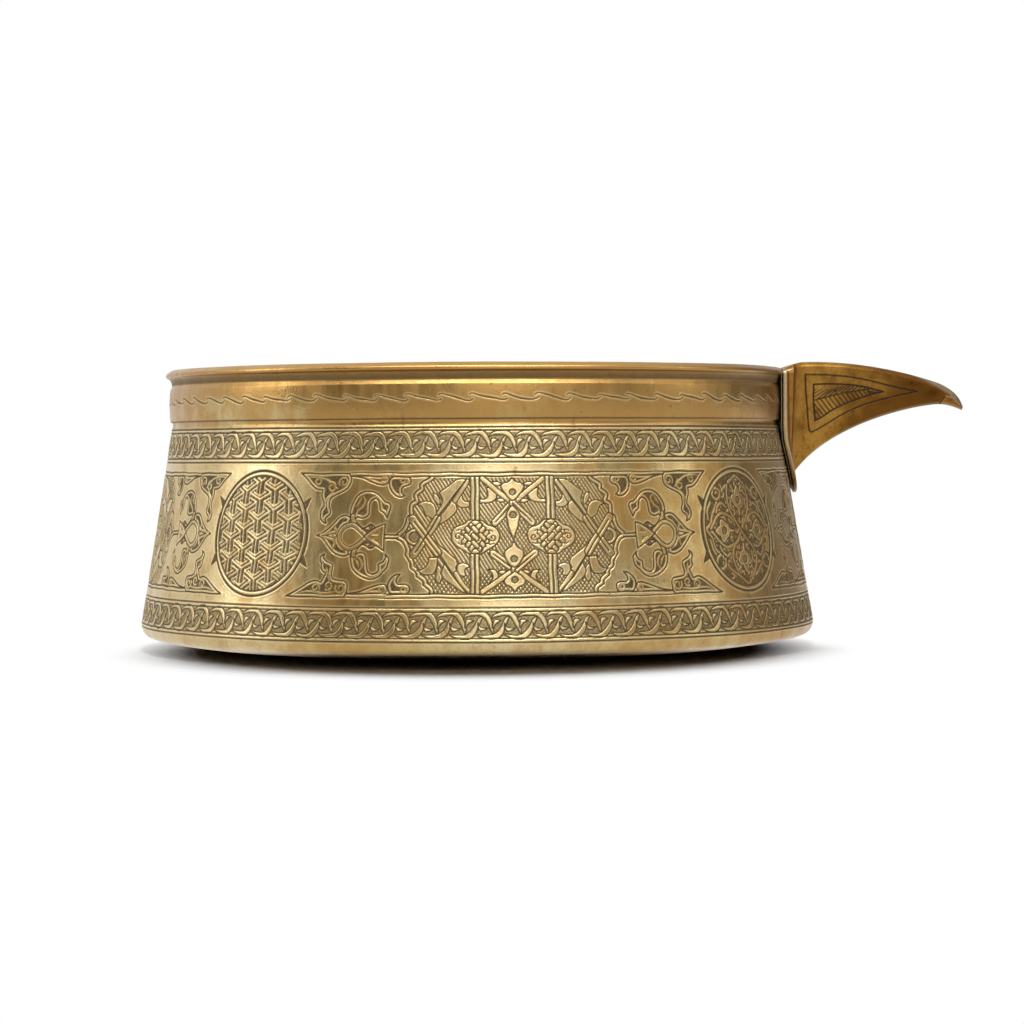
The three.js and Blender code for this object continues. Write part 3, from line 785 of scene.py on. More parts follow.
def scroll_band(plate, low, high, count, seed):
    """Two interlaced running stems: one rises and forks into a leaf, the next falls and does the same."""
    band_ground(plate, low, high)
    pitch = AROUND / count
    scale = (high - low) / SCROLL_HEIGHT

    def fitted(points, shift):
        return [((s + shift) * pitch / SCROLL_LENGTH, low + (z - SCROLL_BASE) * scale) for s, z in points]

    for index in reversed(range(count)):
        hand = Hand(plate, index * pitch, seed + index, tremor=0.18)
        hand.strap(fitted(FALLING_STEM, 4.0), FALLING_WIDTHS, edge=0.34)
        hand.petal(fitted(FALLING_LEAF, 4.0), (0, 4), edge=0.34)
        hand.strap(fitted(RISING_STEM, 0), RISING_WIDTHS, edge=0.34)
        hand.petal(fitted(RISING_LEAF, 0), (0, 3), edge=0.34)


def sickle_row(plate):
    """A row of long hooked strokes, each ending where the next begins."""
    pitch = AROUND / SICKLES
    stroke = [(-4.1, 72.95), (-3.6, 73.3), (-2.6, 73.2), (-1.2, 72.8), (0.5, 72.35), (2.4, 71.95),
              (4.2, 71.65), (5.3, 71.75), (6.0, 72.2)]
    for index in range(SICKLES):
        hand = Hand(plate, index * pitch + 2.4, 900 + index, tremor=0.3)
        hand.line(stroke, width=0.46, depth=0.85, taper=(0.5, 0.5))


# Lines between the bands as height, width and depth
TURNED_LINES = (
    (7.2, 0.42, 0.9), (8.2, 0.4, 0.9), (15.3, 0.4, 0.9), (16.3, 0.42, 0.9),
    (55.0, 0.42, 1.0), (56.1, 0.42, 1.0), (63.4, 0.42, 1.0), (64.4, 0.45, 1.0),
)


def turned_lines(plate, seed):
    """Pairs of lines that run right round between the bands."""
    rng = np.random.default_rng(seed)
    s, z = plate.places()
    for height, width, depth in TURNED_LINES:
        wave = sum(rng.uniform(0.02, 0.06) * np.sin(n * 2 * math.pi * s / AROUND + rng.uniform(0, 6.28))
                   for n in (2, 5, 9))
        plate.groove(slice(None), np.abs(z - height - wave), width, depth)


def hatching(plate, seed):
    """Cuts the hatched and the roughened grounds into the places marked for them."""
    rng = np.random.default_rng(seed)
    s, z = plate.places()
    drift = soft_noise(rng, plate.shape, (12, 90))
    strength = soft_noise(rng, plate.shape, (9, 70))

    def strokes(slope, pitch, wander, width):
        angle = math.radians(slope)
        phase = (math.sin(angle) * s + math.cos(angle) * z + wander * drift) / pitch
        across = np.abs(phase - np.round(phase)) * pitch
        return 1 - smoothstep(0.3 * width, width, across)

    steep = strokes(57, 0.86, 0.35, 0.3)
    counter = strokes(-52, 0.95, 0.3, 0.26) * smoothstep(-0.3, 0.3, strength)
    hatch = np.maximum(steep, counter)
    rough = np.maximum(strokes(40, 0.62, 0.5, 0.24), strokes(-48, 0.66, 0.45, 0.24))
    grain = soft_noise(rng, plate.shape, (170, 1300))
    plate.cut[:] = np.maximum(plate.cut, plate.hatch * (0.15 + 0.8 * hatch))
    plate.dirt[:] = np.maximum(plate.dirt, plate.hatch * (0.02 + 0.85 * hatch))
    # The ridges between the hatching get burr: a little raised, and paler in colour as worn edge and painted
    # highlight.
    plate.burr[:] = np.maximum(plate.burr, 0.5 * plate.hatch * (1 - hatch))
    level = np.minimum(plate.ground, 1)
    plate.cut[:] = np.maximum(plate.cut, level * (0.62 + 0.22 * rough + 0.2 * grain))
    plate.dirt[:] = np.maximum(plate.dirt, np.clip(plate.ground * (0.34 + 0.28 * rough + 0.12 * grain), 0, 1))


def engraved_wall():
    """The whole wall's engraving on its unrolled plate."""
    plate = Plate(AROUND, PLATE_LOW, PLATE_HIGH, AROUND / COLUMNS, PLATE_STEP, closed=True)
    scroll_band(plate, *UPPER_BAND, SCROLLS_ABOVE, 100)
    scroll_band(plate, *LOWER_BAND, SCROLLS_BELOW, 300)
    for index in range(FIELDS):
        centre = field_centre(index)
        seed = 10 * index
        if index % 2 == 0:
            cartouche(plate, centre, seed + 1)
            hand = Hand(plate, centre, seed + 2)
            for side in (hand, hand.mirrored()):
                side_finial(side)
                panel_leaves(side)
            frame_lines(hand)
        elif index % 4 == 1:
            arabesque_roundel(plate, centre, seed + 3)
        else:
            fret_roundel(plate, centre, seed + 4)
    hatching(plate, 5)
    turned_lines(plate, 6)
    sickle_row(plate)
    return plate


# Meshes: the shortest face along a row, apart from the engraved wall's
FACE_LENGTH = 0.8


def along(line, x):
    """Second coordinate of a line at places along its first."""
    return np.interp(x, line[:, 0], line[:, 1])


def wall_radius(height):
    """Radius of the flared wall at a height, widest at the foot."""
    fall = (SHOULDER_HEIGHT - height) / (SHOULDER_HEIGHT - FOOT_FULL_HEIGHT)
    return SHOULDER_RADIUS + (FOOT_RADIUS - SHOULDER_RADIUS) * np.clip(fall, 0, 1) ** FLARE_EXPONENT


def bezier(points, steps):
    """Points along a quadratic or cubic curve."""
    points = np.array(points, float)
    t = np.linspace(0, 1, steps)[:, None]
    while len(points) > 1:
        points = [a * (1 - t) + b * t for a, b in zip(points, points[1:])]
    return points[0]


def foot_curve(steps=24):
    edge = FOOT_RADIUS - FOOT_EDGE_ROUND
    corner = (FOOT_RADIUS - 0.1 * FOOT_EDGE_ROUND, FOOT_EDGE_LIFT + 0.2 * FOOT_EDGE_ROUND)
    return bezier([(edge, FOOT_EDGE_LIFT), corner, (FOOT_RADIUS, FOOT_FULL_HEIGHT)], steps)


# The mouldings above the shoulder as height and radius: step, band, cavetto
MOULDINGS = np.array([
    (SHOULDER_HEIGHT, SHOULDER_RADIUS), (65.0, 90.33), (65.6, 90.2), (66.3, 90.22), (66.62, 90.4),
    (66.78, BAND_RADIUS), (BAND_TOP - 0.3, BAND_RADIUS), (BAND_TOP - 0.1, BAND_RADIUS - 0.05),
    (BAND_TOP + 0.1, BAND_RADIUS - 0.14), (BAND_TOP + 0.35, BAND_RADIUS - 0.27), (77.0, BAND_RADIUS - 0.4),
    (77.18, BAND_RADIUS - 0.55), (77.4, 90.42), (77.7, 90.42), (78.3, 90.52), (78.9, 90.78), (79.4, 91.2),
])


def outside_radius(height):
    """Radius of the outside from the foot's edge to under the lip, mouldings included."""
    foot = foot_curve()
    swell = BAND_SWELL * (1 - ((height - 71.6) / 4.75) ** 2)
    radius = wall_radius(height)
    radius = np.where(height < FOOT_FULL_HEIGHT, along(foot[:, ::-1], height), radius)
    above = along(MOULDINGS, height)
    above = above + np.where((height > BAND_LOW) & (height < BAND_TOP), np.maximum(swell, 0), 0)
    return np.where(height > SHOULDER_HEIGHT, above, radius)


def seat_radius(height):
    """Radius of the surface that the saddle lies against."""
    return np.maximum(wall_radius(height), BAND_RADIUS + BAND_SWELL)


def columns_at(radius):
    """How many columns keep a face no shorter than FACE_LENGTH at a radius, halved from the finest."""
    count = COLUMNS
    while count > 48 and 2 * math.pi * radius / count < FACE_LENGTH:
        count //= 2
    return count


def base_rows():
    """Rows from the middle of the underside to the foot's edge: radius, height, columns."""
    edge = FOOT_RADIUS - FOOT_EDGE_ROUND
    turn = (REST_RADIUS + 0.57 * (FOOT_RADIUS - REST_RADIUS), 0.2 * FOOT_EDGE_LIFT)
    rows = [(radius, 0.0) for radius in np.linspace(1.0, REST_RADIUS, 70)]
    rows += list(bezier([(REST_RADIUS, 0), turn, (edge, FOOT_EDGE_LIFT)], 60)[1:])
    rows += [(radius, height) for radius, height in foot_curve(40)[1:] if height < PLATE_LOW - 0.1]
    made = [(radius, height, columns_at(radius)) for radius, height in rows]
    # The wall above has COLUMNS columns, and a row may have no fewer than half of the next row's.
    made[-1] = (*made[-1][:2], COLUMNS // 2)
    return made


def lip_rows():
    """Rows from above the cavetto over the lip's edge to the inner lip."""
    inner = LIP_RADIUS - LIP_THICKNESS
    rows = [(91.62, 79.6), (91.92, 79.76), (92.1, 79.94), (LIP_RADIUS, 80.14), (92.18, 80.36), (92.13, 80.58),
            (92.03, 80.8), (91.9, 80.96), (91.72, 81.1), (91.5, 81.26), (91.26, 81.43), (91.04, 81.6),
            (90.86, 81.74), (90.7, 81.84), (90.5, LIP_TOP)]
    rows += [(r, LIP_TOP) for r in np.linspace(90.4, inner + 0.5, 5)]
    rows += [(inner + 0.34, 81.8), (inner + 0.16, 81.55), (inner + 0.03, 81.2)]
    return [(*row, COLUMNS) for row in rows] + [(inner, 80.7, COLUMNS // 2)]


def inside_rows():
    """Rows down the inner wall, round the corner and over the floor to its middle."""
    inner = LIP_RADIUS - LIP_THICKNESS
    corner_height = FOOT_EDGE_LIFT + FLOOR_THICKNESS + FLOOR_CORNER
    heights = np.arange(79.6, corner_height, -0.8)
    shoulder = SHOULDER_RADIUS - WALL_THICKNESS
    rows = []
    for height in heights:
        if height > BAND_TOP:
            share = (height - BAND_TOP) / (80.4 - BAND_TOP)
            rows.append((shoulder + (inner - shoulder) * share, height, COLUMNS // 2))
        else:
            rows.append((float(wall_radius(height)) - WALL_THICKNESS, height, COLUMNS // 2))
    start = (float(wall_radius(corner_height)) - WALL_THICKNESS, corner_height)
    turn = (start[0] - 0.1, FLOOR_THICKNESS + FOOT_EDGE_LIFT)
    end = (start[0] - 1.2 * FLOOR_CORNER, FLOOR_THICKNESS + 0.6 * FOOT_EDGE_LIFT)
    floor_turn = (REST_RADIUS + 0.52 * (FOOT_RADIUS - REST_RADIUS), FLOOR_THICKNESS)
    rows += [(r, h, COLUMNS // 4) for r, h in bezier([start, turn, end], 22)]
    slope = bezier([end, floor_turn, (REST_RADIUS, FLOOR_THICKNESS)], 34)[1:]
    flat = [(r, FLOOR_THICKNESS) for r in np.linspace(REST_RADIUS - 1, 1.0, 70)]
    rows += [(r, h, min(COLUMNS // 4, columns_at(r))) for r, h in [*slope, *flat]]
    return rows


def ring_steps(count):
    """Numbers of the places round a ring, and of the place after each."""
    j = np.arange(count)
    return j, (j + 1) % count


def ring_faces(rows, starts):
    """Faces between rows of a turned grid, where a row may have half or twice the columns of the next."""
    quads, fives = [], []
    for row, next_row, start, after in zip(rows, rows[1:], starts, starts[1:]):
        count, next_count = row[2], next_row[2]
        j, k = ring_steps(min(count, next_count))
        if count == next_count:
            quads.append(np.stack([start + j, start + k, after + k, after + j], 1))
        elif next_count == 2 * count:
            fives.append(np.stack([start + j, start + k, after + 2 * k, after + 2 * j + 1, after + 2 * j], 1))
        else:
            fives.append(np.stack([start + 2 * j, start + 2 * j + 1, start + 2 * k, after + k, after + j], 1))
    return quads, fives


def make_mesh(name, points, polygons):
    """A smooth mesh from points in millimetres and arrays of polygons, one for each count of corners."""
    mesh = bpy.data.meshes.new(name)
    mesh.vertices.add(len(points))
    mesh.vertices.foreach_set("co", (np.asarray(points) * MM).astype(np.float32).ravel())
    loops = np.concatenate([p.ravel() for p in polygons]).astype(np.int32)
    totals = np.concatenate([np.full(len(p), p.shape[1]) for p in polygons])
    starts = np.concatenate([[0], np.cumsum(totals)[:-1]]).astype(np.int32)
    mesh.loops.add(len(loops))
    mesh.loops.foreach_set("vertex_index", loops)
    mesh.polygons.add(len(totals))
    mesh.polygons.foreach_set("loop_start", starts)
    mesh.update(calc_edges=True)
    mesh.polygons.foreach_set("use_smooth", np.full(len(totals), True))
    obj = bpy.data.objects.new(name, mesh)
    bpy.context.scene.collection.objects.link(obj)
    return obj


def set_attributes(obj, **layers):
    """Keeps values at a mesh's points, for the materials."""
    for name, values in layers.items():
        layer = obj.data.attributes.new(name, "FLOAT", "POINT")
        layer.data.foreach_set("value", np.asarray(values, np.float32))


def unevenness(seed, terms, around, up):
    """A smooth field over the wall, near 1 at most, as a sum of waves round and up."""
    rng = np.random.default_rng(seed)
    turns = rng.integers(*around, terms)
    climbs = 2 * math.pi / rng.uniform(*up, terms) * rng.choice([-1, 1], terms)
    starts = rng.uniform(0, 2 * math.pi, terms)
    size = 1.0 / math.sqrt(terms)

    def field(angles, height):
        return size * sum(np.sin(n * angles + k * height + p) for n, k, p in zip(turns, climbs, starts))

    return field


# Tone round the rim and round the wall, as angle in degrees from the front and tone; partly the metal's own
# tone, partly painted reflection and shade
RIM_TONE_AND_LIGHT = np.array([
    (-180, -0.1), (-130, -0.22), (-80, -0.1), (-45, -0.04), (-30, -0.08), (-20, -0.34), (-9, -0.26),
    (2, -0.12), (12, -0.2), (24, -0.3), (38, -0.14), (60, -0.26), (110, -0.1), (150, -0.24), (180, -0.1),
])
WALL_TONE_AND_LIGHT = np.array([
    (-180, 0.03), (-140, -0.06), (-100, 0.05), (-60, 0.1), (-38, 0.16), (-24, -0.1), (-14, -0.04), (2, 0.12),
    (14, 0.06), (26, -0.07), (36, -0.02), (52, -0.14), (90, -0.16), (130, -0.02), (180, 0.03),
])


def zone_tone(angles, height):
    """Paler or browner zones round the wall, partly the metal's own tone and partly painted reflection and
    shade: pale to the left of the front where lamp reflections are painted, browner towards the spout where
    shade is painted.
    """
    turn = np.degrees(angles)
    if height > SHOULDER_HEIGHT:
        return along(RIM_TONE_AND_LIGHT, turn) - 0.06 - 0.12 * smoothstep(69, 74, height)
    return 0.16 * math.exp(-((height - 60) / 4) ** 2) + along(WALL_TONE_AND_LIGHT, turn)


def moulding_lines_and_shade(height):
    """Darker lines in the turned steps under the lip and at the cove, and painted shade in the cavetto under
    the lip, which faces down.
    """
    lines = ((64.7, 0.16, 0.4), (66.68, 0.2, 0.85), (77.7, 0.25, 0.85))
    line = max(share * math.exp(-((height - z) / width) ** 2) for z, width, share in lines)
    hollow = float(np.interp(height, [77.25, 77.5, 78.7, 79.2, 79.6], [0, 0.75, 0.6, 0.35, 0]))
    return max(line, hollow)


# Stains as angle in degrees from the front, height, half width, half height and strength
STAINS = [
    (-54, 66.5, 1.6, 5.5, 0.3), (-12.6, 65.8, 0.5, 2.2, 0.5), (16.8, 65.5, 0.5, 1.8, 0.5),
    (59.7, 5.2, 0.4, 1.6, 0.6), (2.5, 75.9, 0.35, 0.3, 0.95), (5, 75.1, 0.25, 0.5, 0.6),
    (18.6, 74.9, 0.35, 0.3, 0.95), (8.1, 69.4, 0.4, 0.9, 0.5),
]
SMALL_STAINS = 90


def scattered_stains():
    """More stains all round, most of them small."""
    rng = np.random.default_rng(31)
    made = []
    for _ in range(SMALL_STAINS):
        size = 0.2 + 0.5 * rng.random() ** 3
        made.append((rng.uniform(-180, 180), rng.uniform(4.5, 80), size, size * rng.uniform(0.7, 3.5),
                     rng.uniform(0.25, 0.9)))
    return made


def stain_row(angles, radius, height, marks):
    """The strongest stain at each place of one row round the bowl."""
    row = np.zeros(len(angles))
    for turn, middle, half_width, half_height, strength in marks:
        up = (height - middle) / half_height
        if abs(up) < 2.5:
            across = (angles - math.radians(turn) + math.pi) % (2 * math.pi) - math.pi
            row = np.maximum(row, strength * np.exp(-(across * radius / half_width) ** 2 - up ** 2))
    return row


# Inside: the depth of the turner's rings and centre mark, and the strainer's holes behind the spout
TURNING_RIPPLE = 0.02
CENTRE_MARK = 0.3
HOLE_RADIUS = 1.7
HOLE_PITCH = 5.2
HOLE_ROW = 4.5
TOP_HOLES = 73.3
HOLE_CORNERS = 36


def strainer_pins():
    """A pin for each hole of the strainer, from four at the top down to one, in a single mesh."""
    corners = HOLE_CORNERS
    turn = np.linspace(0, 2 * math.pi, corners, endpoint=False)
    j, k = ring_steps(corners)
    points, sides, ends = [], [], []
    for row, count in enumerate((4, 3, 2, 1)):
        for place in range(count):
            y = (place - 0.5 * (count - 1)) * HOLE_PITCH
            z = TOP_HOLES - row * HOLE_ROW
            start = len(points) * corners
            for x in (SHOULDER_RADIUS - 8, SHOULDER_RADIUS + 6):
                points.append(np.column_stack([np.full(corners, x), y + HOLE_RADIUS * np.cos(turn),
                                               z + HOLE_RADIUS * np.sin(turn)]))
            sides.append(np.stack([start + j, start + k, start + corners + k, start + corners + j], 1))
            ends += [start + corners + j, (start + j)[::-1]]
    return make_mesh("strainer_pins", np.vstack(points), [np.vstack(sides), np.array(ends)])


def read_all(items, name, size=1, kind=float):
    """One property of all of a mesh's points, corners or faces."""
    values = np.zeros(size * len(items), kind)
    items.foreach_get(name, values)
    return values.reshape(-1, size) if size > 1 else values


# The flat map: margin and length of its strips, and the height and radius in millimetres that it holds
MAP_MARGIN, MAP_LENGTH = 0.004, 0.99
MAP_HEIGHT, MAP_RADIUS = 83, 101


def bake_map(obj):
    """Flat map of the bowl: the outer wall in two strips, then the inner wall, lip, floor and underside."""
    mesh = obj.data
    face = np.repeat(np.arange(len(mesh.polygons)), read_all(mesh.polygons, "loop_total", kind=int))
    vertex = read_all(mesh.loops, "vertex_index", kind=int)
    x, y, z = (read_all(mesh.vertices, "co", 3) / MM)[vertex].T
    mx, my, mz = (read_all(mesh.polygons, "center", 3) / MM)[face].T
    nx, ny, nz = read_all(mesh.polygons, "normal", 3)[face].T
    reach = np.hypot(mx, my) + 1e-9
    outward = (nx * mx + ny * my) / reach
    turn = np.arctan2(mx, -my)
    step = np.arctan2(x, -y) - turn
    turn_here = turn + (step + math.pi) % (2 * math.pi) - math.pi
    u = MAP_MARGIN + MAP_LENGTH * (np.where(turn < 0, turn_here + math.pi, turn_here) / math.pi)
    v = np.where(turn < 0, 0.752, 0.502) + 0.24 * z / MAP_HEIGHT
    inner = outward < -0.3
    v = np.where(inner, 0.4 + 0.095 * z / MAP_HEIGHT, v)
    rim = (np.abs(outward) <= 0.3) & (nz > 0) & (reach > 86) & (mz > 70)
    u = np.where(inner | rim, MAP_MARGIN + MAP_LENGTH * (turn_here + math.pi) / (2 * math.pi), u)
    v = np.where(rim, 0.37 + 0.02 * (np.hypot(x, y) - 85) / 10, v)
    flat = (np.abs(outward) <= 0.3) & ~rim
    over = np.where(nz > 0, 0.0, 0.38)
    u = np.where(flat, over + 0.18 + 0.17 * x / MAP_RADIUS, u)
    v = np.where(flat, 0.18 + 0.17 * y / MAP_RADIUS, v)
    layer = mesh.uv_layers.new(name="OFBake")
    layer.data.foreach_set("uv", np.column_stack([u, v]).astype(np.float32).ravel())


# Unevenness of the raised sheet, and how far its surface lies within the outline to make room for it
DENT_DEPTH = 0.03
RIPPLE_DEPTH = 0.01
SURFACE_SINK = 0.04


def bowl_body(plate):
    """The bowl as one closed turned mesh, with its engraving as real depth."""
    heights = plate.places()[1][:, 0]
    wall = [(float(r), float(z), COLUMNS) for r, z in zip(outside_radius(heights), heights)]
    rows = [*base_rows(), *wall, *lip_rows(), *inside_rows()]
    first_wall = len(base_rows())
    starts = np.concatenate([[0], np.cumsum([row[2] for row in rows])])
    profile = np.array([(r, z) for r, z, _ in rows])
    tangent = np.gradient(profile, axis=0)
    tangent /= np.linalg.norm(tangent, axis=1)[:, None]
    normal = np.stack([tangent[:, 1], -tangent[:, 0]], 1)
    total = starts[-1]
    points = np.zeros((total + 2, 3))
    cut, edge, tone, stain = np.zeros((4, total + 2))
    marks = STAINS + scattered_stains()
    dents = unevenness(21, 9, (2, 15), (40, 120))
    ripples = unevenness(22, 14, (24, 110), (9, 24))
    for index, (radius, height, count) in enumerate(rows):
        angles = 2 * math.pi * (np.arange(count) / count) - math.pi
        away = np.zeros(count)
        place = slice(starts[index], starts[index] + count)
        if first_wall <= index < first_wall + len(heights):
            row = index - first_wall
            away = -CUT_DEPTH * plate.cut[row] + BURR_HEIGHT * plate.burr[row] * (1 - plate.cut[row])
            # Dirt in the cuts, with darker turned steps and painted shade in the cavetto under the lip.
            cut[place] = np.maximum(plate.dirt[row], moulding_lines_and_shade(height))
            stain[place] = stain_row(angles, radius, height, marks)
            # Paler colour on the burrs: partly burnished wear, partly a painted highlight for the glints on
            # the cuts' edges.
            edge[place] = plate.burr[row] * (1 - plate.dirt[row])
        # Tone here is partly the metal's own and partly painted reflection and shade round the wall.
        tone[place] = zone_tone(angles, height)
        uneven = DENT_DEPTH * dents(angles, height) + RIPPLE_DEPTH * ripples(angles, height)
        away = away - SURFACE_SINK + uneven * min(1, radius / 80)
        if height < 0.02 and radius < REST_RADIUS + 1:
            away = 0 * away
        elif count < COLUMNS // 2:
            away = away + TURNING_RIPPLE * math.sin(2.1 * radius)
        r = radius + normal[index, 0] * away
        if height > SHOULDER_HEIGHT - 25 and radius > 88.6:
            notch = saddle_notch(angles, r, height)
            r = np.where(notch, np.minimum(r, float(seat_radius(height)) - 0.02), r)
        points[place, 0] = r * np.sin(angles)
        points[place, 1] = -r * np.cos(angles)
        points[place, 2] = height + normal[index, 1] * away
    points[total] = (0, 0, rows[0][1] + CENTRE_MARK)
    points[total + 1] = (0, 0, rows[-1][1] - CENTRE_MARK)
    quads, fives = ring_faces(rows, starts[:-1])
    j, k = ring_steps(rows[0][2])
    under = np.stack([np.full(len(j), total), k, j], 1)
    j, k = ring_steps(rows[-1][2])
    floor = np.stack([np.full(len(j), total + 1), starts[-2] + j, starts[-2] + k], 1)
    obj = make_mesh("engraved_bowl", points, [np.vstack(quads), np.vstack(fives), under, floor])
    set_attributes(obj, dirt=cut, edge=edge, tone=tone, stain=stain)
    return obj


NOTCH_HALF = 22.4


def saddle_notch(angles, radius, height):
    """True where the lip and the mouldings are cut back for the saddle."""
    across = radius * np.sin(angles - math.pi / 2)
    ragged = 0.25 * math.sin(9 * height) + 0.2 * math.sin(23 * height)
    return (np.abs(across) < NOTCH_HALF + ragged * (height > 79)) & (np.cos(angles - math.pi / 2) > 0)


# Spout: the same curves as the solid, drawn finely, with its engraved side panels
SPOUT_ROOT_HALF = 13.5
SPOUT_TIP_HALF = 2.2
SPOUT_KEEL_SHARE = 0.45
SPOUT_WALL = 1.8
SPOUT_TIP_WALL = 0.8
ROOT_FILLET = 2.8
EDGE_ROUND = 1.3
BEVEL_DROP = 2.6
BEVEL_LENGTH = 16.0
BEVEL_BULGE = 0.35
ROOT_HEIGHT = 51.0
THROAT_HEIGHT = 71.1
TIP_HEIGHT = 69.4
FLANGE_INNER = 1.0
FLANGE_THICKNESS = 1.2
FLANGE_MARGIN = 8.5
FLANGE_TAIL = 6.0
FLANGE_TOP = RIM_HEIGHT - 0.4
SADDLE_STEPS = 260
SADDLE_RINGS = 26
SPOUT_STEP = 0.2
BEAK_START = 95.0
FACET_START = 139.1
FACET_LOW = 71.9

# The beak's engraved side, as places along and up; the middle of its plate lies at SIDE_CENTRE
SIDE_CENTRE = 119.0
SIDE_FRAME = [
    (97.2, 79.9), (104.9, 79.7), (112.1, 79.0), (118.2, 77.8), (123.9, 76.4), (131.5, 74.9), (125.8, 73.7),
    (120, 72.3), (114.3, 70.6), (108.6, 68), (103.6, 65), (100.9, 63.5), (99.6, 63.0), (98.7, 64.1),
    (98, 70.2), (97.4, 75.8),
]
SIDE_FIELD = [
    (99.8, 77.0), (104.8, 77.1), (110.5, 76.9), (115.1, 76.3), (121.2, 74.8), (116.6, 73.7), (110.5, 71.6),
    (105.9, 69.5), (102.9, 67.5), (100.6, 66.3), (99.9, 72.1),
]
SIDE_RIB = [(100, 72.3), (104, 73.3), (109, 74.4), (113.5, 75.1), (116.6, 75.5)]

# Pits on the beak's side as place along and up, and radius
SIDE_PITS = [
    (112.3, 68.0, 0.5), (111.2, 67.2, 0.4), (113.0, 67.6, 0.3), (121.0, 73.0, 0.35), (104.5, 60.3, 0.3),
    (127.4, 78.4, 0.3),
]

# Stains on the beak as place along and up, half width, half height and strength
SPOUT_STAINS = [
    (122, 72, 2.4, 0.9, 0.35), (129.5, 77.2, 4, 0.9, 0.35), (112, 69, 0.5, 0.3, 0.8),
    (136, 74.5, 2, 1.2, 0.5), (97, 70, 0.5, 9, 0.3), (104, 62.5, 0.5, 0.5, 0.5), (118.5, 79, 3, 0.4, 0.4),
    (115, 70.5, 6, 1.6, 0.1), (127, 73.5, 4, 1.6, 0.15), (109, 79.8, 6, 0.8, 0.12),
    (134, 73.5, 3, 1.8, 0.2), (104, 66, 2, 3, 0.08), (131.5, 76.2, 3, 1.2, 0.25),
    (137, 74.2, 1.6, 2.2, 0.25),
]


def joined(curves):
    """One line through several curves that follow each other."""
    parts = [bezier(c, 60) for c in curves]
    return np.vstack([parts[0], *[p[1:] for p in parts[1:]]])


def spout_curves():
    """The beak's back and underside as seen from the side."""
    seat = float(seat_radius(ROOT_HEIGHT))
    shoulder = BAND_RADIUS + 6
    bend = SPOUT_REACH - 7.6 + 0.15
    reach = SPOUT_REACH + 0.15
    nose = SPOUT_TOP - 6.2
    back = joined([
        [(BAND_RADIUS - 10, SPOUT_TOP - 3.4), (BAND_RADIUS, SPOUT_TOP - 3.4),
         (BAND_RADIUS + 1.6, SPOUT_TOP - 0.06), (shoulder, SPOUT_TOP - 0.06)],
        [(shoulder, SPOUT_TOP - 0.06), (shoulder + 15, SPOUT_TOP + 0.46), (bend - 11, SPOUT_TOP - 2.66),
         (bend, nose)],
        [(bend, nose), (bend + 3.6, nose - 1.5), (reach - 0.8, nose - 3.6), (reach, TIP_HEIGHT + 0.7)],
    ])
    underside = joined([
        [(BAND_RADIUS - 10, ROOT_HEIGHT - 12), (BAND_RADIUS, ROOT_HEIGHT - 6), (seat, ROOT_HEIGHT - 3),
         (seat + 2.2, ROOT_HEIGHT + 0.4)],
        [(seat + 2.2, ROOT_HEIGHT + 0.4), (seat + 12.8, ROOT_HEIGHT + 14.3), (bend - 8, THROAT_HEIGHT - 0.4),
         (bend, THROAT_HEIGHT)],
        [(bend, THROAT_HEIGHT), (bend + 3, THROAT_HEIGHT + 0.1), (bend + 5, TIP_HEIGHT + 0.9),
         (reach, TIP_HEIGHT - 0.1)],
    ])
    return back, underside


FLANGE_FACE = BAND_RADIUS + BAND_SWELL + FLANGE_INNER + FLANGE_THICKNESS


def beak_half_width(x):
    """Half the beak's width, tapering from the flange and filleted into it."""
    root = FLANGE_FACE
    share = np.clip((x - root) / (SPOUT_REACH - root), 0, 1)
    plain = SPOUT_ROOT_HALF + (SPOUT_TIP_HALF - SPOUT_ROOT_HALF) * share
    in_fillet = np.clip(1 - (x - root) / ROOT_FILLET, 0, 1)
    return plain + ROOT_FILLET * (1 - np.sqrt(1 - in_fillet ** 2))


def engraved_side():
    """Plate for the spout's side panels: a long three-cornered frame with a feathered field in it."""
    plate, strokes = (Plate(60.0, 46.0, 86.0, 0.15, 0.15, closed=False) for _ in range(2))

    def at(points):
        return np.array(points, float) - (SIDE_CENTRE, 0)

    plate.line(at(looped(curve(SIDE_FRAME, (0, 5), closed=True))), width=0.42, depth=0.9)
    field = at(curve(SIDE_FIELD, (0, 4, 9), closed=True))
    plate.line(looped(field), width=0.46, depth=1.0)
    where, s, z = plate.window(field, 0.5)
    inside = plate.within(field, s, z)
    rib = curve(SIDE_RIB)
    strokes.line(at(rib), width=0.4, depth=0.9)
    for index in range(-4, 11):
        x = 99.0 + 1.75 * index
        low = along(rib, x)
        lean = 5.2 - 0.12 * index
        barb = [(x, low), (x + 0.5 * lean, low + 1.9 - 0.03 * index), (x + lean, low + 3.4 - 0.04 * index)]
        strokes.line(at(curve(barb)), width=0.36, depth=0.8, taper=(0.8, 0.5))
    for index in range(-5, 14):
        x = 99.4 + 1.3 * index
        top = along(rib, x)
        barb = [(x, top), (x + 1.6, top - 2.0), (x + 5.6, top - 6.8)]
        strokes.line(at(curve(barb)), width=0.36, depth=0.8, taper=(0.8, 0.6))
    for name in ("cut", "dirt", "burr"):
        layer, marks = getattr(plate, name), getattr(strokes, name)
        layer[where] = np.maximum(layer[where], marks[where] * inside)
    tip = at([(115.9, 75.1), (120.4, 74.8), (117, 74.1)])
    where, s, z = plate.window(tip, 0.4)
    plate.dirt[where] = np.maximum(plate.dirt[where], 0.8 * plate.within(tip, s, z))
    for x, height, radius in SIDE_PITS:
        where, s, z = plate.window(at([(x, height)]), 1.5)
        plate.groove(where, np.hypot(s - (x - SIDE_CENTRE), 1.4 * (z - height)), radius, 0.7)
    return plate


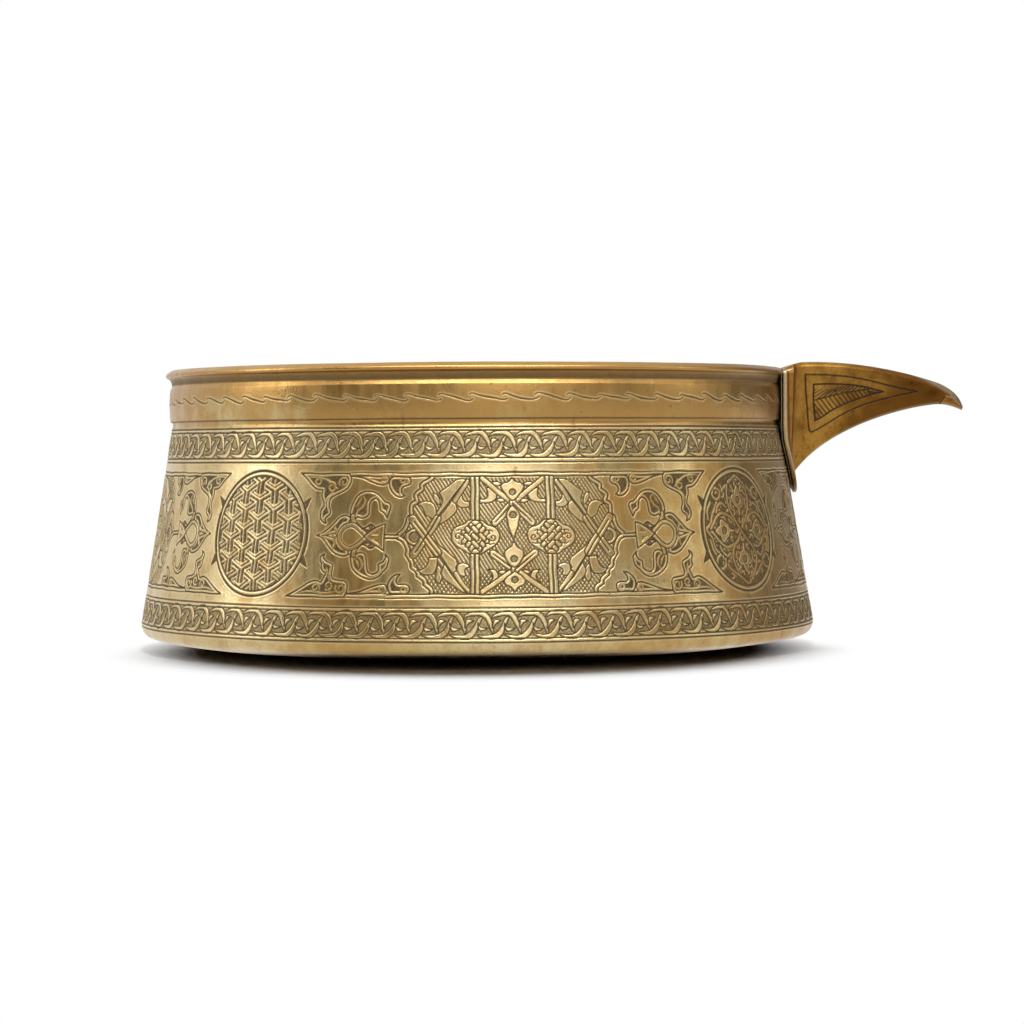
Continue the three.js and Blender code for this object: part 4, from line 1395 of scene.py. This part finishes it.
def sample_plate(plate, layer, x, z):
    """Value of a plate's layer at places, by straight interpolation."""
    column = np.clip((x - SIDE_CENTRE - plate.left) / plate.step[0], 0, plate.shape[1] - 2)
    row = np.clip((z - plate.low) / plate.step[1], 0, plate.shape[0] - 2)
    c, r = column.astype(int), row.astype(int)
    fc, fr = column - c, row - r
    top = layer[r, c] * (1 - fc) + layer[r, c + 1] * fc
    low = layer[r + 1, c] * (1 - fc) + layer[r + 1, c + 1] * fc
    return top * (1 - fr) + low * fr


def loft(name, rings):
    """Closed skin over rings of points, with its ends filled."""
    rings = np.array(rings)
    count, size = rings.shape[:2]
    j, k = ring_steps(size)
    quads = [np.stack([i * size + j, i * size + k, (i + 1) * size + k, (i + 1) * size + j], 1)
             for i in range(count - 1)]
    points = np.vstack([rings.reshape(-1, 3), rings[0].mean(0), rings[-1].mean(0)])
    start = np.stack([np.full(size, count * size), k, j], 1)
    last = (count - 1) * size
    end = np.stack([np.full(size, count * size + 1), last + j, last + k], 1)
    return make_mesh(name, points, [np.vstack(quads), start, end])


def half_section(half, low, high, lower_round, drop, inset, counts):
    """The +y half of a beak section, from the keel's middle up the side to the back's middle."""
    keel = SPOUT_KEEL_SHARE * half
    below = min(lower_round, 0.8 * keel)
    flat, corner, side, top = counts
    points = [(y, low) for y in np.linspace(0, keel - below, flat, endpoint=False)]
    for angle in np.radians(np.linspace(-90, 0, corner, endpoint=False)):
        points.append((keel - below + below * math.cos(angle), low + below + below * math.sin(angle)))
    start, end = (keel, low + below), (half, high - drop)
    for share in np.linspace(0, 1, side, endpoint=False):
        points.append((start[0] + (end[0] - start[0]) * share, start[1] + (end[1] - start[1]) * share))
    for angle in np.radians(np.linspace(0, 90, corner, endpoint=False)):
        y = half - inset * (1 - math.cos(angle))
        z = high - drop + drop * math.sin(angle)
        share = math.degrees(angle) / 90
        y_flat, z_flat = half - inset * share, high - drop + drop * share
        points.append((y_flat + BEVEL_BULGE * (y - y_flat), z_flat + BEVEL_BULGE * (z - z_flat)))
    points += [(y, high) for y in np.linspace(half - inset, 0, top)]
    return np.array(points)


def beak_ring(x, half, low, high, lower_round, drop, inset, counts):
    section = half_section(half, low, high, lower_round, drop, inset, counts)
    ring = np.vstack([section, section[-2:0:-1] * (-1, 1)])
    return np.column_stack([np.full(len(ring), x), ring])


def beak_outside(side_plate):
    back, underside = spout_curves()
    rings = []
    for x in np.arange(BAND_RADIUS - 5, SPOUT_REACH, SPOUT_STEP):
        half = float(beak_half_width(x))
        low, high = float(along(underside, x)), float(along(back, x))
        bevel = min(max((x - SPOUT_REACH) / BEVEL_LENGTH + 1, 0), 1)
        drop = min(EDGE_ROUND + (BEVEL_DROP - EDGE_ROUND) * bevel, 0.45 * (high - low))
        inset = EDGE_ROUND + (0.75 * half - EDGE_ROUND) * bevel
        rings.append(beak_ring(x, half, low, high, min(EDGE_ROUND, 0.3 * (high - low)), drop, inset,
                               (6, 8, 120, 16)))
    rings = np.array(rings)
    x, y, z = rings[..., 0], rings[..., 1], rings[..., 2]
    cut = sample_plate(side_plate, side_plate.cut, x, z)
    burr = sample_plate(side_plate, side_plate.burr, x, z)
    on_side = (np.abs(y) > 0.3 * beak_half_width(x)) & (z < along(back, x) - 1.5) & (x > BEAK_START - 1)
    depth = np.where(on_side, -CUT_DEPTH * cut + BURR_HEIGHT * burr * (1 - cut), 0)
    rings[..., 1] += np.sign(y) * depth
    return loft("beak", rings)


def beak_inside():
    back, underside = spout_curves()
    rings = []
    start, end = BAND_RADIUS - 10, SPOUT_REACH - 2.4
    for x in np.arange(start, end, 0.6):
        share = min(max((x - start) / (end - start), 0), 1)
        wall = SPOUT_WALL + (SPOUT_TIP_WALL - SPOUT_WALL) * share
        half = min(float(beak_half_width(x)), SPOUT_ROOT_HALF) - wall
        low = float(along(underside, x)) + 1.3 * wall
        high = float(along(back, x)) - wall
        round_ = 0.4 * min(half, EDGE_ROUND)
        rings.append(beak_ring(x, half, low, high, round_, round_, round_, (4, 5, 24, 6)))
    return loft("bore", rings)


def beak_mouth():
    back, underside = spout_curves()
    rings = []
    for x in np.linspace(SPOUT_REACH - 3.5, SPOUT_REACH + 1, 10):
        low = float(along(underside, x)) + 0.28
        high = min(float(along(back, x)) - 0.25, low + 1.5)
        round_ = 0.3 * (high - low)
        rings.append(beak_ring(x, 1.3, low, high, round_, round_, round_, (3, 4, 6, 4)))
    return loft("mouth", rings)


def saddle_outline(inset):
    """Shield outline of the saddle in y and z, evenly stepped, from the tail up the +y side."""
    half = SPOUT_ROOT_HALF + FLANGE_MARGIN - inset
    top = FLANGE_TOP - inset
    tail = ROOT_HEIGHT - FLANGE_TAIL + 1.6 * inset
    waist = tail + 0.55 * (top - tail)
    rise = waist - tail
    side = [(0, tail), (0.45 * half, tail + 0.1 * rise), (0.9 * half, tail + 0.45 * rise), (half, waist)]
    corner = bezier([(half, top - 0.8), (half, top), (half - 0.8, top)], 8)
    right = np.vstack([bezier(side, 80), corner])
    line = np.vstack([right, right[::-1] * (-1, 1)])
    length = np.concatenate([[0], np.cumsum(np.hypot(*np.diff(line, axis=0).T))])
    places = np.linspace(0, length[-1], SADDLE_STEPS, endpoint=False)
    return np.column_stack([np.interp(places, length, line[:, 0]), np.interp(places, length, line[:, 1])])


def on_seat(outline, offset):
    """Puts y and z places on the bowl's seat, pushed out by an offset."""
    y, z = outline[:, 0], outline[:, 1]
    return np.column_stack([np.sqrt((seat_radius(z) + offset) ** 2 - y ** 2), y, z])


def saddle_shell(name, inset, inner, outer, edge):
    """A curved shield-shaped plate that lies round the bowl, with rounded edges."""
    middle = np.array([0.0, 66.0])

    def face(share, offset):
        return on_seat(middle + (saddle_outline(inset + edge) - middle) * share, offset)

    def rim(angle, base):
        return on_seat(saddle_outline(inset + edge - edge * math.cos(angle)), base + edge * math.sin(angle))

    rows = [face(share, outer) for share in np.linspace(0.04, 1, SADDLE_RINGS, endpoint=False)]
    rows += [rim(angle, outer - edge) for angle in np.radians(np.linspace(90, 0, 7))]
    rows += [rim(angle, inner + edge) for angle in np.radians(np.linspace(0, -90, 7)[1:])]
    rows += [face(share, inner) for share in np.linspace(1, 0.04, SADDLE_RINGS)[1:]]
    return loft(name, rows[::-1])


def seat_core():
    """The space inside the saddle's inner face, as a turned body."""
    angles = np.linspace(0, 2 * math.pi, 1024, endpoint=False)
    across, along_y = np.cos(angles), np.sin(angles)
    rings = []
    for height in np.linspace(30, 90, 121):
        radius = float(seat_radius(height)) + FLANGE_INNER
        rings.append(np.column_stack([radius * across, radius * along_y, np.full(1024, height)]))
    return loft("seat_core", rings)


def combine(obj, other, operation):
    """Joins another closed mesh to obj, or cuts it away, and removes it."""
    modifier = obj.modifiers.new("combine", "BOOLEAN")
    modifier.operation = operation
    modifier.object = other
    modifier.solver = "MANIFOLD"
    evaluated = obj.evaluated_get(bpy.context.evaluated_depsgraph_get())
    mesh = bpy.data.meshes.new_from_object(evaluated)
    obj.modifiers.clear()
    old = obj.data
    obj.data = mesh
    bpy.data.meshes.remove(old)
    bpy.data.objects.remove(other)


# Upper edge of the small facet filed at the spout's tip, as places along and up
FACET_EDGE = np.array([(FACET_START, FACET_LOW), (140.2, 73.6), (142.4, 73.0), (145.1, 70.4)])

# The beak's tone along its length
SPOUT_TONE = np.array([(96, 0.0), (104, 0.06), (112, -0.1), (126, -0.18), (134, -0.45), (140, -0.4)])


def spout_piece():
    side = engraved_side()
    spout = saddle_shell("beak_spout", 0, FLANGE_INNER, FLANGE_INNER + FLANGE_THICKNESS, 0.28)
    combine(spout, beak_outside(side), "UNION")
    for cutter in (seat_core, beak_inside, beak_mouth):
        combine(spout, cutter(), "DIFFERENCE")
    x, y, z = (read_all(spout.data.vertices, "co", 3) / MM).T
    back, underside = spout_curves()
    top, low = along(back, x), along(underside, x)
    rise = np.clip((z - low) / (top - low), 0, 1)
    width = beak_half_width(x) * (SPOUT_KEEL_SHARE + (1 - SPOUT_KEEL_SHARE) * rise)
    outside = (np.abs(y) > width - 1.2) & (x > BEAK_START) & (z < top - 1.5)
    tip_edge = along(FACET_EDGE, x)
    facet = (x > FACET_START) & (z < tip_edge)
    # A painted shadow line along the left edge of the tip's facet, carried in the dirt layer.
    notch = np.abs(x - FACET_START - 0.65 * (z - FACET_LOW)) / 1.2
    notch_shade = 0.7 * (1 - smoothstep(0.1, 0.3, notch)) * (z < 73.7) * (z > low - 0.1) * (x > 138)
    dirt = np.maximum(np.where(outside, sample_plate(side, side.dirt, x, z), 0), notch_shade)
    stain = sum(share * np.exp(-((x - middle) / wide) ** 2 - ((z - height) / tall) ** 2)
                for middle, height, wide, tall, share in SPOUT_STAINS)
    # Painted highlight along the saddle's edge.
    saddle_edge_highlight = np.zeros(len(x))
    near = x < FLANGE_FACE + 0.1
    to_edge = np.full(near.sum(), 1e9)
    for edge_y, edge_z in saddle_outline(0):
        to_edge = np.minimum(to_edge, np.hypot(y[near] - edge_y, z[near] - edge_z))
    saddle_edge_highlight[near] = 1 - smoothstep(0.25, 0.75, to_edge)
    # Painted highlight on the tip's top bevel, for its grey sheen.
    below_top = (top - z) / np.clip((x - 127) / 9, 0.2, 1.4)
    bevel = np.clip((x - 129) / 8, 0, 1) * (1 - smoothstep(0.6, 1.6, below_top))
    # Painted highlight along the rounding of the beak's underside.
    underside_highlight = 0.5 * (1 - smoothstep(0.3, 0.9, z - low)) * (x > 98)
    # Painted highlight along the upper edge of the tip's facet.
    facet_edge_highlight = 0.8 * (np.abs(z - tip_edge) < 0.22) * (x > 140)
    # The facet's paler tone is a painted reflection; the spout's edge layer holds painted highlights only.
    set_attributes(spout, dirt=dirt, stain=np.where(x > BEAK_START, np.clip(stain, 0, 1), 0),
                   tone=along(SPOUT_TONE, x) + 0.4 * facet,
                   edge=np.maximum.reduce([saddle_edge_highlight, 0.9 * bevel, underside_highlight, facet_edge_highlight]))
    spout.data.set_sharp_from_angle(angle=math.radians(38))
    return spout


def solder_piece():
    """The layer of solder under the saddle, a little smaller all round."""
    return saddle_shell("solder_line", 0.7, 0.3, 0.7, 0.15)


# Finishes
def node(tree, kind, inputs, **settings):
    """A node with its settings; each input gets a link from a socket, or else a value."""
    made = tree.nodes.new(kind)
    for key, value in settings.items():
        setattr(made, key, value)
    for key, value in inputs.items():
        if isinstance(value, bpy.types.NodeSocket):
            tree.links.new(value, made.inputs[key])
        else:
            made.inputs[key].default_value = value
    return made


def mix_colour(tree, factor, first, second):
    """A colour mixed from two, each a colour or a socket."""
    first, second = (c if isinstance(c, bpy.types.NodeSocket) else (*c, 1) for c in (first, second))
    return node(tree, "ShaderNodeMix", {0: factor, 6: first, 7: second}, data_type="RGBA").outputs[2]


def blend_value(tree, operation, first, second, clamp=False):
    """The result of an operation on two values, each a number or a socket."""
    made = node(tree, "ShaderNodeMath", {0: first, 1: second}, operation=operation, use_clamp=clamp)
    return made.outputs[0]


def multiply(tree, first, second, clamp=False):
    return blend_value(tree, "MULTIPLY", first, second, clamp)


def add(tree, first, second, clamp=False):
    return blend_value(tree, "ADD", first, second, clamp)


def blend_numbers(tree, factor, first, second):
    """A number between first and second by a factor, each a number or a socket."""
    return node(tree, "ShaderNodeMix", {0: factor, 2: first, 3: second}, data_type="FLOAT").outputs[0]


def ramp(tree, value, low, high, out_low=0.0, out_high=1.0):
    """A smooth ramp of a value between low and high."""
    inputs = {0: value, 1: low, 2: high, 3: out_low, 4: out_high}
    return node(tree, "ShaderNodeMapRange", inputs, interpolation_type="SMOOTHSTEP").outputs[0]


def attribute(tree, name):
    """A value kept at the mesh's points."""
    return node(tree, "ShaderNodeAttribute", {}, attribute_name=name).outputs["Fac"]


def noise(tree, vector, scale, detail=3.0, roughness=0.5, stretch=(1, 1, 1), distortion=0.0):
    """Noise over the object's own space, drawn out where stretch is under 1."""
    mapped = node(tree, "ShaderNodeMapping", {"Scale": stretch, "Vector": vector}).outputs[0]
    inputs = {"Vector": mapped, "Scale": scale, "Detail": detail, "Roughness": roughness}
    return node(tree, "ShaderNodeTexNoise", {**inputs, "Distortion": distortion}).outputs[0]


def brass(name, base, pale, brown, dark, roughness, edge_wear_and_highlight):
    """Worn brass: a base colour clouded by a paler and a browner one, partly as painted reflection and shade;
    paler on worn edges and painted highlights; dark where dirt lies in the cuts and where shade is painted.
    """
    material = bpy.data.materials.new(name)
    material.use_nodes = True
    tree = material.node_tree
    shader = tree.nodes["Principled BSDF"]
    place = node(tree, "ShaderNodeTexCoord", {}).outputs["Object"]
    clouds = noise(tree, place, 22, 4, 0.55, (1, 1, 1.6))
    blotches = noise(tree, place, 75, 5, 0.6)
    mottle = noise(tree, place, 190, 4, 0.65, (1, 1, 0.7))
    grain = noise(tree, place, 1300, 3, 0.65)
    pits = noise(tree, place, 520, 2, 0.5)
    wiped = noise(tree, place, 150, 3, 0.6, (1, 1, 0.1), 0.3)
    scratches = noise(tree, place, 420, 2, 0.5, (1, 1, 0.06), 0.4)
    rubbed = noise(tree, place, 380, 2, 0.5, (0.08, 0.08, 1), 0.4)
    tone, stain, dirt, edge = (attribute(tree, name) for name in ("tone", "stain", "dirt", "edge"))
    # Paler or browner by the tone layer, which partly paints reflections and shade.
    colour = mix_colour(tree, ramp(tree, add(tree, clouds, tone), 0.3, 0.75), base, pale)
    brownness = blend_value(tree, "SUBTRACT", blotches, tone)
    for cloud, low, high, share in ((brownness, 0.4, 0.74, 0.85), (mottle, 0.48, 0.7, 0.55),
                                    (grain, 0.5, 0.72, 0.45), (wiped, 0.5, 0.8, 0.35)):
        colour = mix_colour(tree, multiply(tree, ramp(tree, cloud, low, high), share), colour, brown)
    # Paler on worn edges and painted highlights.
    colour = mix_colour(tree, multiply(tree, edge, 0.45), colour, edge_wear_and_highlight)
    dirt = multiply(tree, dirt, ramp(tree, blotches, 0.1, 0.7, 1.15, 0.9), clamp=True)
    # Dark in the cuts' dirt and in the painted shade of the mouldings and the spout's tip.
    colour = mix_colour(tree, dirt, colour, dark)
    stain = multiply(tree, stain, 0.8)
    stain = add(tree, stain, ramp(tree, pits, 0.7, 0.78, 0, 0.55), clamp=True)
    colour = mix_colour(tree, stain, colour, [0.35 * c for c in brown])
    tree.links.new(colour, shader.inputs["Base Color"])
    rough = ramp(tree, scratches, 0.3, 0.7, roughness - 0.05, roughness + 0.06)
    rough = add(tree, rough, ramp(tree, blotches, 0.35, 0.75, -0.03, 0.1))
    rough = add(tree, rough, multiply(tree, stain, 0.2))
    rough = add(tree, rough, multiply(tree, dirt, 0.35), clamp=True)
    tree.links.new(rough, shader.inputs["Roughness"])
    metal = blend_value(tree, "SUBTRACT", 1.0, multiply(tree, dirt, 0.4))
    tree.links.new(metal, shader.inputs["Metallic"])
    height = add(tree, scratches, rubbed)
    height = add(tree, height, multiply(tree, grain, 1.8))
    bump = node(tree, "ShaderNodeBump", {"Strength": 0.6, "Distance": 0.00005, "Height": height})
    tree.links.new(bump.outputs[0], shader.inputs["Normal"])
    return material


def dress(obj, material):
    """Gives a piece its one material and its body."""
    obj.data.materials.clear()
    obj.data.materials.append(material)
    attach(obj, "root")


plate = engraved_wall()
bowl = bowl_body(plate)
combine(bowl, strainer_pins(), "DIFFERENCE")
bake_map(bowl)
# The last colour is for worn burrs and painted highlights on the bowl.
dress(bowl, brass("engraved_brass", (0.505, 0.365, 0.143), (0.635, 0.5, 0.265), (0.40, 0.22, 0.065),
                  (0.09, 0.061, 0.025), 0.3, (0.85, 0.68, 0.37)))
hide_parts("bowl_body")
spout = spout_piece()
# The last colour is the painted highlight on the spout's edges and bevel.
dress(spout, brass("cast_brass", (0.28, 0.125, 0.014), (0.38, 0.2, 0.04), (0.12, 0.046, 0.008),
                   (0.035, 0.02, 0.008), 0.36, (0.56, 0.49, 0.32)))
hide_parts("spout")
solder = solder_piece()
dress(solder, brass("hard_solder", (0.16, 0.14, 0.09), (0.3, 0.27, 0.18), (0.1, 0.08, 0.05),
                    (0.03, 0.025, 0.02), 0.6, (0.4, 0.36, 0.25)))
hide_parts("solder_seam")


# Floor, light and camera
FLOOR_REACH = 6.0


def studio_floor():
    """A wide pale floor that keeps the bowl's shadow and glows white away from it."""
    mesh = bpy.data.meshes.new("studio_floor")
    corners = [(x * FLOOR_REACH, y * FLOOR_REACH, 0) for x, y in ((-1, -1), (1, -1), (1, 1), (-1, 1))]
    mesh.from_pydata(corners, [], [(0, 1, 2, 3)])
    floor = bpy.data.objects.new("studio_floor", mesh)
    bpy.context.scene.collection.objects.link(floor)
    material = bpy.data.materials.new("floor_paper")
    material.use_nodes = True
    tree = material.node_tree
    shader = tree.nodes["Principled BSDF"]
    shader.inputs["Base Color"].default_value = (0.93, 0.93, 0.93, 1)
    shader.inputs["Roughness"].default_value = 0.9
    shader.inputs["Specular IOR Level"].default_value = 0.0
    place = node(tree, "ShaderNodeTexCoord", {}).outputs["Object"]
    oval = node(tree, "ShaderNodeVectorMath", {0: place, 1: (1.1, 1.0, 1.0)}, operation="MULTIPLY")
    middle = (0, -0.02, 0)
    away = node(tree, "ShaderNodeVectorMath", {0: oval.outputs[0], 1: middle}, operation="DISTANCE")
    away = away.outputs["Value"]
    path = node(tree, "ShaderNodeLightPath", {})
    direct = blend_value(tree, "LESS_THAN", path.outputs["Diffuse Depth"], 0.5)
    mirrored = multiply(tree, ramp(tree, away, 0.07, 0.086), direct)
    share = multiply(tree, path.outputs["Is Camera Ray"], ramp(tree, away, 0.088, 0.122))
    for ray in ("Is Glossy Ray", "Is Transmission Ray"):
        reflected = multiply(tree, path.outputs[ray], mirrored)
        share = add(tree, share, reflected, clamp=True)
    glow = node(tree, "ShaderNodeEmission", {})
    mix = node(tree, "ShaderNodeMixShader", {0: share, 1: shader.outputs[0], 2: glow.outputs[0]})
    tree.links.new(mix.outputs[0], tree.nodes["Material Output"].inputs["Surface"])
    mesh.materials.append(material)


def softbox(name, place, size, radiance, on_floor=False):
    """A soft rectangular lamp that faces the bowl; it lights either the floor or the metal's reflections."""
    light = bpy.data.lights.new(name, "AREA")
    light.shape = "RECTANGLE"
    light.size, light.size_y = size
    light.energy = radiance * math.pi * size[0] * size[1]
    obj = bpy.data.objects.new(name, light)
    bpy.context.scene.collection.objects.link(obj)
    obj.location = place
    obj.rotation_mode = "QUATERNION"
    obj.rotation_quaternion = (Vector((0, 0, 0.05)) - Vector(place)).to_track_quat("-Z", "Y")
    obj.visible_diffuse = on_floor
    obj.visible_glossy = not on_floor


def studio_world():
    """White for the camera; metal sees it dimmer towards the front, and little falls on the floor."""
    world = bpy.data.worlds.new("studio")
    bpy.context.scene.world = world
    world.use_nodes = True
    tree = world.node_tree
    background = tree.nodes["Background"]
    rays = node(tree, "ShaderNodeLightPath", {}).outputs
    direction = node(tree, "ShaderNodeTexCoord", {}).outputs["Generated"]
    x, y, z = node(tree, "ShaderNodeSeparateXYZ", {0: direction}).outputs
    behind, above = ramp(tree, y, 0.0, 0.6, 0.68, 1.0), ramp(tree, z, 0.15, 0.9, 0.0, 0.35)
    right_side = ramp(tree, x, 0.35, 0.95, 1.0, 0.6)
    corner = ramp(tree, multiply(tree, x, y), 0.05, 0.4, 1.0, 0.4)
    seen_by_metal = multiply(tree, multiply(tree, add(tree, behind, above), right_side), corner)
    fill = ramp(tree, z, 0.0, 0.9, 0.003, 0.03)
    mirror = add(tree, rays["Is Glossy Ray"], rays["Is Transmission Ray"], clamp=True)
    direct = blend_value(tree, "LESS_THAN", rays["Diffuse Depth"], 0.5)
    mirror = multiply(tree, mirror, direct)
    strength = blend_numbers(tree, mirror, fill, seen_by_metal)
    strength = blend_numbers(tree, rays["Is Camera Ray"], strength, 1.0)
    background.inputs["Color"].default_value = (1, 1, 1, 1)
    tree.links.new(strength, background.inputs["Strength"])


def camera():
    """The photograph's view: level with the upper wall, 850 mm from the bowl's axis."""
    distance = 0.850
    eye_height = 0.0587
    focal_pixels = 2839.0
    horizon_above_centre = 64.0
    axis_left_of_centre = 35.0
    roll = math.radians(-0.32)
    data = bpy.data.cameras.new("camera")
    data.sensor_width = 36.0
    data.lens = focal_pixels / 1024 * data.sensor_width
    data.clip_start, data.clip_end = 0.05, 60
    obj = bpy.data.objects.new("camera", data)
    bpy.context.scene.collection.objects.link(obj)
    bpy.context.scene.camera = obj
    yaw = -math.atan(axis_left_of_centre / focal_pixels)
    pitch = -math.atan(horizon_above_centre / focal_pixels)
    turns = ((yaw, "Z"), (math.pi / 2 + pitch, "X"), (roll, "Z"))
    first, second, third = (Matrix.Rotation(angle, 4, axis) for angle, axis in turns)
    obj.matrix_world = Matrix.Translation((0, -distance, eye_height)) @ (first @ second @ third)


studio_floor()
studio_world()
softbox("left_softbox", (-1.19, -0.14, 0.6), (0.5, 0.85), 2.7)
softbox("right_softbox", (1.18, -0.22, 0.6), (0.5, 0.85), 1.3)
softbox("front_softbox", (0.2, -1.25, 0.6), (0.62, 0.75), 1.5)
softbox("high_softbox", (0, -0.66, 1.02), (1.3, 0.4), 8.0)
softbox("top_softbox", (0, 0.45, 1.2), (0.5, 0.45), 27.0, on_floor=True)
camera()
bpy.context.scene.view_settings.view_transform = "Standard"
